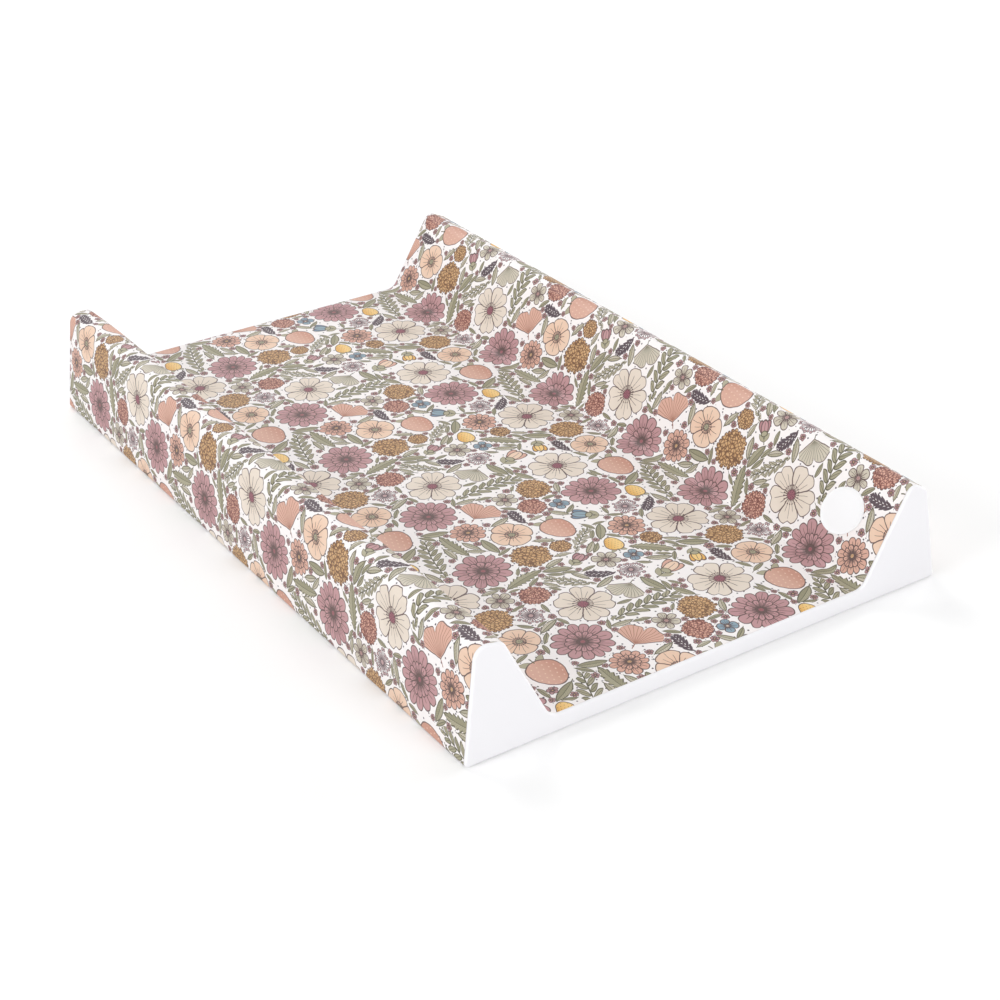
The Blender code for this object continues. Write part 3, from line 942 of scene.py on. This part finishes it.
def planted(design):
    """One repeat of the print, planted."""
    bed = Bed(design)
    for name, look in MOTIFS.items():
        for _ in range(look.count):
            apart = SAME_KIND_APART * bed.repeat / math.sqrt(look.count)
            bed.plant_best(name, LARGE_SCALES, apart)
    for name, count in LONG_FILLERS.items():
        for _ in range(count):
            if not bed.plant_best(name, FILLER_SCALES):
                break
    while bed.plant_in_hole(ROUND_FILLERS, SMALLEST_FLOWER):
        pass
    return bed


def clipped(patch, across, along, limit):
    """A convex patch without what lies beyond a line."""
    kept = []
    for i, (x, y) in enumerate(patch):
        after = patch[(i + 1) % len(patch)]
        here = x * across + y * along - limit
        there = after[0] * across + after[1] * along - limit
        if here <= 0:
            kept.append((x, y))
        if here * there < 0:
            part = here / (here - there)
            kept.append((x + (after[0] - x) * part, y + (after[1] - y) * part))
    return kept


def patch_round(index, circles, bed):
    """The convex patch of print that belongs to one circle, relative to its centre."""
    x, y, radius = circles[index]
    apart = bed.wrapped(circles[:, :2] - (x, y))
    far = np.hypot(apart[:, 0], apart[:, 1])
    far[index] = np.inf
    far = np.maximum(far, 1e-6)
    limits = (far + (radius ** 2 - circles[:, 2] ** 2) / far) / 2
    limits[index] = np.inf
    half = bed.repeat * PATCH_REACH
    patch = [(-half, -half), (half, -half), (half, half), (-half, half)]
    reach = half * math.sqrt(2)
    for other in np.argsort(limits):
        if limits[other] >= reach or not patch:
            break
        patch = clipped(patch, *(apart[other] / far[other]), limits[other])
        reach = max((math.hypot(*corner) for corner in patch), default=0.0)
    return np.array(patch) * MM


def printed_sheet(surface, design):
    """The flat film cut into one patch for each motif, and the list of motifs placed."""
    bed = planted(design)
    circles = np.array(bed.circles)
    patches = [patch_round(i, circles, bed) for i in range(len(circles))]
    mesh = bmesh.new()
    tag = mesh.faces.layers.int.new("motif")
    placed = []
    columns = range(-1, int(surface.across[-1] / design.repeat) + 2)
    rows = range(-1, int((surface.along[-1] - surface.along[0]) / design.repeat) + 2)
    for i in columns:
        for j in rows:
            corner = np.array((i * design.repeat, surface.along[0] + j * design.repeat))
            first = len(placed)
            placed += [(kind, x * MM + corner[0], y * MM + corner[1], angle, scale, chance)
                       for kind, x, y, angle, scale, chance in bed.motifs]
            for patch, circle, owner in zip(patches, circles, bed.owners):
                spot = circle[:2] * MM + corner
                if len(patch) < 3 or not near_film(spot + patch, surface):
                    continue
                face = mesh.faces.new([mesh.verts.new((*corner, 0.0)) for corner in spot + patch])
                face[tag] = first + owner
    bmesh.ops.remove_doubles(mesh, verts=mesh.verts[:], dist=MERGE)
    cut_lines(mesh, surface)
    return mesh, placed


def near_film(patch, surface):
    """Whether a patch lies on the flat film, at least in part."""
    low, high = patch.min(axis=0), patch.max(axis=0)
    return high[0] > surface.across[0] and low[0] < surface.across[-1] \
        and high[1] > surface.along[0] and low[1] < surface.along[-1]


def cut_lines(mesh, surface):
    """Trim the flat film to its size and cut it where the skin bends."""
    axes = ((Vector((1, 0, 0)), surface.across), (Vector((0, 1, 0)), surface.along))
    for axis, places in axes:
        bisect(mesh, axis * places[0], -axis, True)
        bisect(mesh, axis * places[-1], axis, True)
    for axis, places in axes:
        for place in places[1:-1]:
            bisect(mesh, axis * place, axis, False)


def bisect(mesh, place, direction, trim):
    """Cut the whole mesh by a plane."""
    everything = mesh.verts[:] + mesh.edges[:] + mesh.faces[:]
    bmesh.ops.bisect_plane(mesh, geom=everything, dist=MERGE / 2, plane_co=place,
                           plane_no=direction, clear_outer=trim)


# Finishes

def new_material(name):
    """An empty node material and its Principled shader."""
    material = bpy.data.materials.new(name)
    material.use_nodes = True
    return material, material.node_tree, material.node_tree.nodes["Principled BSDF"]


def object_place(tree):
    """The place on the piece, in its own axes."""
    return add_node(tree, "TexCoord").outputs["Object"]


def bump(tree, height, strength, depth, below=None):
    """A bump, on top of another if there is one."""
    inputs = {"Height": height, "Strength": strength, "Distance": depth}
    if below:
        inputs["Normal"] = below
    return add_node(tree, "Bump", inputs).outputs["Normal"]


def film_finish(tree, shader, colour, amount=1.0):
    """Satin film: fine emboss, slow unevenness of the foam below, and roughness that varies."""
    place = object_place(tree)
    fine = noise(tree, place, scale=1400.0, detail=2.0)
    slow = noise(tree, place, scale=22.0, detail=3.0)
    normal = bump(tree, fine, 0.22 * amount, 0.05 * MM)
    normal = bump(tree, slow, 0.5 * amount, 0.6 * MM, normal)
    for name, setting in (("Base Color", colour), ("Normal", normal),
                          ("Roughness", slow * 0.12 + 0.42), ("Specular IOR Level", 0.30)):
        put(tree, shader.inputs[name], setting)


def print_material(name, look, design):
    """Film with one kind of motif printed on it, its edges a little uneven as if drawn."""
    material, tree, shader = new_material("print_" + name)
    place = add_node(tree, "UVMap", uv_map="motif_place").outputs["UV"]
    luck = add_node(tree, "Attribute", attribute_name="motif_chance")
    seed = Field(tree, luck.outputs["Fac"])
    wobble = add_node(tree, "TexNoise", {"Vector": place, "W": seed * 50.0, "Scale": 0.16,
                                         "Detail": 1.0}, noise_dimensions="4D")
    axes = add_node(tree, "SeparateXYZ", {"Vector": place}).outputs
    shifts = add_node(tree, "SeparateColor", {"Color": wobble.outputs["Color"]}).outputs
    sway = min(look.half_width * SWAY, MOST_SWAY)
    x, y = (Field(tree, axes[axis]) + (Field(tree, shifts[shift]) - 0.5) * sway
            for axis, shift in (("X", "Red"), ("Y", "Green")))
    dots = cells(tree, place, 1.0 / SPECK_SPACING, dimensions="2D") * SPECK_SPACING
    picture = Picture(tree, tuple(design.ground))
    picture.coat((SPECK_RADIUS - dots).inside(0.2), SLATE)
    look.draw(picture, x, y, seed, look, tuple(design.line))
    film_finish(tree, shader, picture.top)
    return material


def white_material(name, tint, amount=1.0, scale=9.0, dimmed=0.98):
    """Plain film with a breath of tone variation."""
    material, tree, shader = new_material(name)
    cloud = noise(tree, object_place(tree), scale, detail=2.0)
    film_finish(tree, shader, mixed(tree, cloud, tint, tuple(c * dimmed for c in tint)), amount)
    return material


def raw_material(name, pattern, low, high, strength, depth, roughness):
    """Bare stuff whose pattern gives both its tone and its relief."""
    material, tree, shader = new_material(name)
    relief = pattern(tree, object_place(tree))
    for slot, setting in (("Base Color", mixed(tree, relief, low, high)),
                          ("Normal", bump(tree, relief, strength, depth)),
                          ("Roughness", roughness)):
        put(tree, shader.inputs[slot], setting)
    return material


def fibres(tree, place):
    """The fibres of pressed hardboard."""
    return noise(tree, place, scale=260.0, detail=6.0)


def pores(tree, place):
    """The fine pores of open-cell foam."""
    return cells(tree, place, scale=900.0)


# Pieces

def add_piece(name, mesh_builder, *materials):
    """A mesh as a named object that rides on the mat."""
    mesh = bpy.data.meshes.new(name)
    mesh_builder.to_mesh(mesh)
    mesh_builder.free()
    for material in materials:
        mesh.materials.append(material)
    piece = bpy.data.objects.new(name, mesh)
    bpy.context.scene.collection.objects.link(piece)
    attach(piece, BODY)
    return piece


def only(piece):
    """Make one object active and the only one selected."""
    bpy.ops.object.select_all(action="DESELECT")
    piece.select_set(True)
    bpy.context.view_layer.objects.active = piece


def apply_modifier(piece, kind, **settings):
    """Put a modifier on a piece and apply it."""
    modifier = piece.modifiers.new(kind.lower(), kind)
    for name, setting in settings.items():
        setattr(modifier, name, setting)
    only(piece)
    bpy.ops.object.modifier_apply(modifier=modifier.name)


def smooth_by_angle(piece, degrees):
    """Smooth shading with sharp edges kept."""
    only(piece)
    bpy.ops.object.shade_smooth_by_angle(angle=math.radians(degrees))


def skinned(rings, *caps):
    """A mesh of rings of points joined by faces, some of them closed, all facing outwards."""
    mesh = bmesh.new()
    loops = [[mesh.verts.new(point) for point in ring] for ring in rings]
    for near, far in zip(loops, loops[1:]):
        for i in range(len(near)):
            after = (i + 1) % len(near)
            mesh.faces.new((near[i], near[after], far[after], far[i]))
    for cap in caps:
        mesh.faces.new(loops[cap])
    bmesh.ops.recalc_face_normals(mesh, faces=mesh.faces[:])
    return mesh


def repaint(node, material):
    """Give a CAD node another material."""
    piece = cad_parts[node]
    piece.data.materials.clear()
    piece.data.materials.append(material)


# Where face, back and rim of the film lie on its map for baking
FACE_SHARE = 0.86
BACK_SCALE = 0.12
BACK_PLACE = (0.875, 0.0)
RIM_PLACE = (0.99, 0.5)


class PrintedFilm:
    """The printed film as a closed mesh: a finely cut face, a plain back and a thin rim."""

    def __init__(self, surface, design):
        self.surface = surface
        self.mesh, placed = printed_sheet(surface, design)
        self.tag = self.mesh.faces.layers.int["motif"]
        self.mesh.verts.layers.float_vector.new("outward")
        self.flat = np.array([v.co[:2] for v in self.mesh.verts])
        self.low = self.flat.min(axis=0)
        self.size = self.flat.max(axis=0) - self.low
        self.name_patches(placed)
        self.map_for_baking()
        ring = self.rim_of_face()
        self.lift()
        self.line(ring)

    def name_patches(self, placed):
        """Each patch's material, its random number and its place on its motif."""
        place = self.mesh.loops.layers.uv.new("motif_place")
        luck = self.mesh.faces.layers.float.new("motif_chance")
        for face in self.mesh.faces:
            kind, x, y, angle, scale, chance = placed[face[self.tag]]
            face.material_index = kind
            face[luck] = chance
            across = math.cos(angle) / (scale * MM)
            along = math.sin(angle) / (scale * MM)
            for corner in face.loops:
                dx, dy = corner.vert.co.x - x, corner.vert.co.y - y
                corner[place].uv = (dx * across + dy * along, dy * across - dx * along)

    def map_for_baking(self):
        """The flat film as one island."""
        island = self.mesh.loops.layers.uv.new(BAKE_MAP)
        low, share_of_map = Vector(self.low), FACE_SHARE / self.size.max()
        for face in self.mesh.faces:
            for corner in face.loops:
                corner[island].uv = (Vector(corner.vert.co[:2]) - low) * share_of_map

    def round_place(self, x, y):
        """How far round the film's edge a place on it is, counter-clockwise."""
        width, height = self.size
        if y < MERGE:
            return x
        if x > width - MERGE:
            return width + y
        if y > height - MERGE:
            return width + height + (width - x)
        return 2 * width + height + (height - y)

    def rim_of_face(self):
        """The face's edge, as places round the film and their corners, in order."""
        edge = {v for e in self.mesh.edges if e.is_boundary for v in e.verts}
        return sorted(((self.round_place(v.co.x - self.low[0], v.co.y - self.low[1]), v)
                       for v in edge), key=lambda entry: entry[0])

    def lift(self):
        """Lay the flat face on the mat, and note which way is out."""
        spots, outward = self.surface.place(self.flat)
        out = self.mesh.verts.layers.float_vector["outward"]
        for vert, spot, direction in zip(self.mesh.verts, spots, outward):
            vert.co = spot
            vert[out] = direction

    def line(self, ring):
        """Give the film its back, one face for each cell of the grid, and close the rim."""
        surface = self.surface
        inner = surface.points - surface.normals * sizes().film
        back = [[self.mesh.verts.new(p) for p in row] for row in inner]
        flat = [[(across - self.low[0], along - self.low[1]) for across in surface.across]
                for along in surface.along]
        rows, columns = len(surface.along), len(surface.across)
        for i in range(rows - 1):
            for j in range(columns - 1):
                cell = [(i, j), (i + 1, j), (i + 1, j + 1), (i, j + 1)]
                self.plain_face([back[a][b] for a, b in cell],
                                [flat[a][b] for a, b in cell], BACK_SCALE, BACK_PLACE)
        loop = [(0, j) for j in range(columns)] \
            + [(i, columns - 1) for i in range(1, rows)] \
            + [(rows - 1, j) for j in range(columns - 2, -1, -1)] \
            + [(i, 0) for i in range(rows - 2, -1, -1)]
        places = [self.round_place(*flat[i][j]) for i, j in loop[:-1]]
        places.append(2 * self.size.sum())
        ring.append((places[-1], ring[0][1]))
        at = 0
        for k, (first, last) in enumerate(zip(places, places[1:])):
            chain = [ring[at][1]]
            while ring[at][0] < last - MERGE:
                at += 1
                chain.append(ring[at][1])
            corners = chain[::-1] + [back[loop[k][0]][loop[k][1]],
                                     back[loop[k + 1][0]][loop[k + 1][1]]]
            self.plain_face(corners, [(0.0, 0.0)] * len(corners), 0.0, RIM_PLACE)

    def plain_face(self, corners, flat, scale, place):
        """A face of the back or the rim."""
        face = self.mesh.faces.new(corners)
        face.material_index = len(MOTIFS)
        island = self.mesh.loops.layers.uv[BAKE_MAP]
        for corner, (x, y) in zip(face.loops, flat):
            corner[island].uv = (place[0] + x * scale, place[1] + y * scale)


def shade_by_surface(piece):
    """Shade the film's face by the skin's own directions."""
    smooth_by_angle(piece, 50.0)
    mesh = piece.data
    normals = values(mesh.corner_normals, "vector", 3)
    outward = values(mesh.attributes["outward"].data, "vector", 3)
    corners = values(mesh.loops, "vertex_index", kind=int)
    kinds = values(mesh.polygons, "material_index", kind=int)
    printed = np.repeat(kinds < len(MOTIFS), values(mesh.polygons, "loop_total", kind=int))
    normals[printed] = outward[corners[printed]]
    mesh.attributes.remove(mesh.attributes["outward"])
    mesh.normals_split_custom_set(normals.tolist())


class MAT_OT_top_cover(bpy.types.Operator):
    """Builds the printed film over walls, slopes and lying surface"""

    bl_idname = "changing_mat.top_cover"
    bl_label = "Printed film"

    def execute(self, context):
        design = context.scene.print_design
        surface = FilmSurface()
        film = PrintedFilm(surface, design)
        materials = [print_material(name, look, design) for name, look in MOTIFS.items()]
        materials.append(white_material("film_back", tuple(design.ground)))
        piece = add_piece("printed_film", film.mesh, *materials)
        shade_by_surface(piece)
        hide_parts("top_cover")
        return {"FINISHED"}


RIM_STEPS = 8
# How far a white end runs under the printed film
FLANGE = 0.8 * MM


class MAT_OT_end_panels(bpy.types.Operator):
    """Builds the plain white film that closes each end, with its rounded rim"""

    bl_idname = "changing_mat.end_panels"
    bl_label = "White ends"

    def execute(self, context):
        white = white_material("white_film", WHITE_FILM, 0.5)
        for name, node, end in (("front_white_end", "front_end_panel", -1),
                                ("rear_white_end", "rear_end_panel", 1)):
            piece = add_piece(name, self.tray(end), white)
            apply_modifier(piece, "SOLIDIFY", thickness=sizes().film, offset=-1.0,
                           use_even_offset=True)
            smooth_by_angle(piece, 50.0)
            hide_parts(node)
        return {"FINISHED"}

    def tray(self, end):
        """Rings from the flange over the rounded rim to the flat face, as one open film."""
        s = sizes()
        rings = []
        turns = [math.pi / 2 * (1 - step / RIM_STEPS) for step in range(RIM_STEPS + 1)]
        steps = [(s.rim * (1 - math.cos(turn)), s.rim * (1 - math.sin(turn)), 0.5)
                 for turn in turns]
        under = skin_depth()
        steps[:1] = [(s.rim + FLANGE, under, 1.0), (s.rim, under, 1.0),
                     (s.rim - s.gap / 2, 0.0, 0.5)]
        for back, inset, raised in steps:
            y = (s.mat_length / 2 - back) * end
            loop = []
            for side in (-1, 1):
                arcs = half_outline(side, share_of(y), inset, under + inset * raised)
                half = [Vector((-side * p.x, p.y)) for piece in arcs for p in piece]
                loop += half if side < 0 else half[::-1]
            rings.append([(p.x, y, p.y) for p in loop])
        mesh = skinned(rings, -1)
        if sum(f.normal.y * end for f in mesh.faces) < 0:
            bmesh.ops.reverse_faces(mesh, faces=mesh.faces[:])
        return mesh


class MAT_OT_underside(bpy.types.Operator):
    """Builds the bottom film and finishes the board and the air vents"""

    bl_idname = "changing_mat.underside"
    bl_label = "Underside"

    def execute(self, context):
        mesh = bmesh.new()
        mesh.from_mesh(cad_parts["bottom_cover"].data)
        bmesh.ops.remove_doubles(mesh, verts=mesh.verts[:], dist=MERGE / 2)
        bmesh.ops.dissolve_limit(mesh, angle_limit=math.radians(1.0), verts=mesh.verts[:],
                                 edges=mesh.edges[:])
        piece = add_piece("white_bottom_film", mesh, white_material("bottom_film", WHITE_FILM))
        smooth_by_angle(piece, 40.0)
        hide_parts("bottom_cover")
        repaint("base_board", raw_material("hardboard", fibres, paint(88, 64, 46),
                                           paint(142, 110, 82), 0.4, 0.2 * MM, 0.72))
        vents = white_material("vent_plastic", paint(236, 236, 238), 0.3)
        for number in range(1, 5):
            repaint(f"air_vent_{number}", vents)
        return {"FINISHED"}


# Steps of the rounding at the ends of the foam
TURN_STEPS = 5


class MAT_OT_foam(bpy.types.Operator):
    """Builds the two bolsters and the centre pad that fill the film"""

    bl_idname = "changing_mat.foam"
    bl_label = "Foam"

    def execute(self, context):
        bolster, pad = (
            raw_material(name, pores, dark, light, 0.6, 0.4 * MM, 0.9)
            for name, dark, light in (
                ("bolster_foam", paint(206, 192, 156), paint(236, 226, 196)),
                ("pad_foam", paint(216, 206, 182), paint(242, 236, 218))))
        joint = (column_of("foot_bend") + column_of("foot_bend", 1)) // 2
        last = 2 * HALF_COLUMNS
        start = column_of("wall") + 1
        for node, name, columns, material in (
                ("left_side_foam", "left_bolster", (start, joint), bolster),
                ("right_side_foam", "right_bolster", (last - joint, last - start), bolster),
                ("centre_foam_pad", "centre_pad", (joint, last - joint), pad)):
            piece = add_piece(name, self.lofted(*columns, joint, last - joint), material)
            smooth_by_angle(piece, 40.0)
            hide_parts(node)
        return {"FINISHED"}

    def stations(self):
        """Places along the mat and insets of a foam piece's sections.

        The ends are rounded, and lie lower under the flange of the white film.
        """
        s = sizes()
        skin, under = skin_depth(), 2 * skin_depth()
        radius = s.rim - skin
        turns = [math.pi / 2 * i / TURN_STEPS for i in range(TURN_STEPS + 1)]
        front = [(skin + radius * (1 - math.cos(a)), under + radius * (1 - math.sin(a)))
                 for a in turns]
        front += [(s.rim + FLANGE + s.gap, under), (s.rim + FLANGE + 3 * s.gap, skin)]
        front = [(y - s.mat_length / 2, inset) for y, inset in front]
        straight = np.linspace(front[-1][0], -front[-1][0], LENGTH_STEPS // 2)[1:-1]
        return front + [(y, skin) for y in straight] \
            + [(-y, inset) for y, inset in reversed(front)]

    def lofted(self, first, last, left_joint, right_joint):
        """Foam under some columns of the film, cut level below and upright at the joints."""
        rings = []
        level = foam_level()
        for y, inset in self.stations():
            row = section(share_of(y), inset)
            top = row[first:last + 1].copy()
            ends = []
            for at, side in ((0, 1), (-1, -1)):
                if (first, last)[at] in (left_joint, right_joint):
                    top[at, 0] += side * sizes().gap / 2
                    ends.append((top[at, 0], level))
                else:
                    near, far = row[(first, last)[at] - side], row[(first, last)[at]]
                    part = (level - near[1]) / (far[1] - near[1])
                    ends.append(tuple(near + (far - near) * part))
            rings.append([(x, y, z) for x, z in (ends[0], *top.tolist(), ends[1])])
        return skinned(rings, 0, -1)


PATCH_SIDES = 96
PATCH_RINGS = 5


class MAT_OT_patch(bpy.types.Operator):
    """Builds the bare round patch on the right slope, with its welded ring"""

    bl_idname = "changing_mat.patch"
    bl_label = "Round patch"

    def execute(self, context):
        s = sizes()
        bpy.ops.object.select_all(action="DESELECT")
        bpy.ops.mesh.primitive_cylinder_add(vertices=PATCH_SIDES, radius=s.patch_radius,
                                            depth=s.patch_film, location=(0, 0, s.patch_film / 2))
        piece = bpy.context.active_object
        piece.name = piece.data.name = "round_patch"
        piece.data.transform(piece.matrix_world)
        piece.matrix_world = Matrix.Identity(4)
        self.shape_top(piece.data)
        apply_modifier(piece, "BEVEL", width=s.patch_raised / 3, segments=2,
                       limit_method="ANGLE", angle_limit=math.radians(40.0))
        short = Vector((math.cos(s.patch_turn), math.sin(s.patch_turn), 0.0))
        piece.data.transform(Matrix.Scale(s.patch_oval, 4, short))
        self.lay(piece.data)
        smooth_by_angle(piece, 40.0)
        piece.data.materials.append(white_material("patch_film", PATCH_FILM, 0.4, 60.0, 0.985))
        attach(piece, BODY)
        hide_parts("round_label")
        return {"FINISHED"}

    def shape_top(self, mesh):
        """Leave a fine ring standing round a slightly lower face."""
        s = sizes()
        bpy.ops.object.mode_set(mode="EDIT")
        bpy.ops.mesh.select_mode(type="FACE")
        bpy.ops.mesh.select_all(action="DESELECT")
        bpy.ops.object.mode_set(mode="OBJECT")
        for face in mesh.polygons:
            face.select = face.normal.z > 0.5
        bpy.ops.object.mode_set(mode="EDIT")
        bpy.ops.mesh.inset(thickness=s.patch_rim)
        bpy.ops.mesh.extrude_region_move(
            TRANSFORM_OT_translate={"value": (0.0, 0.0, -s.patch_raised)})
        for _ in range(PATCH_RINGS):
            bpy.ops.mesh.inset(thickness=(s.patch_radius - s.patch_rim) / (PATCH_RINGS + 1))
        bpy.ops.object.mode_set(mode="OBJECT")

    def lay(self, mesh):
        """Bend the flat patch onto the film."""
        s = sizes()
        surface = FilmSurface()
        last = len(surface.across) - 1
        top, foot = (surface.across[last - column_of("slope", end)] for end in (0, 1))
        centre = np.array((top + (foot - top) * s.patch_down,
                           surface.along[0] + s.patch_from_front))
        shape = values(mesh.vertices, "co", 3)
        spots, outward = surface.place(centre + shape[:, :2])
        placed = spots + outward * (shape[:, 2:] + s.gap)
        mesh.vertices.foreach_set("co", placed.ravel())
        mesh.update()


def away(azimuth, elevation):
    """Direction from the mat's middle, 0 in front of the foot end and growing to the right."""
    level = math.cos(elevation)
    return Vector((math.sin(azimuth) * level, -math.cos(azimuth) * level, math.sin(elevation)))


class MAT_OT_stage(bpy.types.Operator):
    """Builds the floor, the light and the camera"""

    bl_idname = "changing_mat.stage"
    bl_label = "Stage"

    def execute(self, context):
        scene = context.scene
        light = scene.stage_light
        self.floor(light)
        self.sky(scene, light)
        for name, (azimuth, elevation, _) in LAMPS.items():
            self.lamp(f"{name}_lamp", azimuth, elevation, getattr(light, name))
        self.camera(scene, light)
        scene.view_settings.view_transform = "Standard"
        return {"FINISHED"}

    def seen_share(self, tree):
        """1 for the rays that look at a backdrop, and 0 for those that carry its light."""
        path = add_node(tree, "LightPath").outputs
        camera, glossy, through = (Field(tree, path[f"Is {kind} Ray"])
                                   for kind in ("Camera", "Glossy", "Transmission"))
        return camera.most(glossy).most(through)

    def floor(self, light):
        bpy.ops.object.select_all(action="DESELECT")
        bpy.ops.mesh.primitive_plane_add(size=light.floor_size,
                                         location=(0.0, 0.0, -light.floor_drop))
        floor = bpy.context.active_object
        floor.name = "floor"
        floor.data.transform(floor.matrix_world)
        floor.matrix_world = Matrix.Identity(4)
        material, tree, shader = new_material("pale_floor")
        seen = self.seen_share(tree)
        tone = seen * (light.floor_seen - light.floor_tone) + light.floor_tone
        for name, setting in (("Roughness", 1.0), ("Specular IOR Level", 0.0),
                              ("Emission Color", (1.0, 1.0, 1.0)), ("Base Color", tone),
                              ("Emission Strength", seen * light.floor_glow)):
            put(tree, shader.inputs[name], setting)
        floor.data.materials.append(material)

    def sky(self, scene, light):
        world = bpy.data.worlds.new("soft_sky")
        scene.world = world
        world.use_nodes = True
        tree = world.node_tree
        back = tree.nodes["Background"]
        put(tree, back.inputs["Color"], (1.0, 1.0, 1.0))
        put(tree, back.inputs["Strength"], self.seen_share(tree) * (1.0 - light.sky) + light.sky)

    def lamp(self, name, azimuth, elevation, power):
        """A large square lamp that faces the mat, placed like the camera by two angles."""
        light = bpy.context.scene.stage_light
        data = bpy.data.lights.new(name, "AREA")
        data.size = light.lamp_size
        data.energy = power
        lamp = bpy.data.objects.new(name, data)
        bpy.context.scene.collection.objects.link(lamp)
        place = away(math.radians(azimuth), math.radians(elevation)) * light.lamp_distance
        middle = Vector((0.0, 0.0, light.lamp_aim))
        lamp.matrix_world = Matrix.Translation(middle + place) \
            @ place.to_track_quat("Z", "Y").to_matrix().to_4x4()

    def camera(self, scene, light):
        back = away(light.azimuth, light.elevation)
        right = Vector((0.0, 0.0, 1.0)).cross(back).normalized()
        up = back.cross(right)
        turn = math.cos(light.roll), math.sin(light.roll)
        axes = (right * turn[0] + up * turn[1], up * turn[0] - right * turn[1], back)
        data = bpy.data.cameras.new("camera")
        data.sensor_width = 36.0
        data.lens = light.focal_px / FRAME_PX * data.sensor_width
        camera = bpy.data.objects.new("camera", data)
        scene.collection.objects.link(camera)
        place = Matrix.Translation(LOOK_AT + back * light.distance)
        camera.matrix_world = place @ Matrix(axes).transposed().to_4x4()
        scene.camera = camera


class MAT_PT_panel(bpy.types.Panel):
    """Buttons and sizes of the changing mat"""

    bl_label = "Changing Mat"
    bl_idname = "MAT_PT_panel"
    bl_space_type = "VIEW_3D"
    bl_region_type = "UI"
    bl_category = "Changing Mat"

    def draw(self, context):
        for operator in OPERATORS:
            self.layout.operator(operator.bl_idname)
        for group, kind in GROUPS.items():
            box = self.layout.box()
            for name in kind.__annotations__:
                box.prop(getattr(context.scene, group), name)


GROUPS = {"mat_sizes": MatSizes, "print_design": PrintDesign, "stage_light": StageLight}
OPERATORS = (MAT_OT_stage, MAT_OT_underside, MAT_OT_foam, MAT_OT_end_panels, MAT_OT_top_cover,
             MAT_OT_patch)
CLASSES = (*GROUPS.values(), *OPERATORS, MAT_PT_panel)


def register():
    """Make the sizes, buttons and panel known to Blender."""
    for kind in CLASSES:
        bpy.utils.register_class(kind)
    for group, kind in GROUPS.items():
        setattr(bpy.types.Scene, group, PointerProperty(type=kind))


def unregister():
    """Take them away again."""
    for group in GROUPS:
        delattr(bpy.types.Scene, group)
    for kind in reversed(CLASSES):
        bpy.utils.unregister_class(kind)


def main():
    """Build every piece and the stage."""
    register()
    bpy.ops.changing_mat.stage()
    bpy.ops.changing_mat.underside()
    bpy.ops.changing_mat.foam()
    bpy.ops.changing_mat.end_panels()
    bpy.ops.changing_mat.top_cover()
    bpy.ops.changing_mat.patch()
    bpy.context.view_layer.update()


if __name__ == "__main__":
    main()
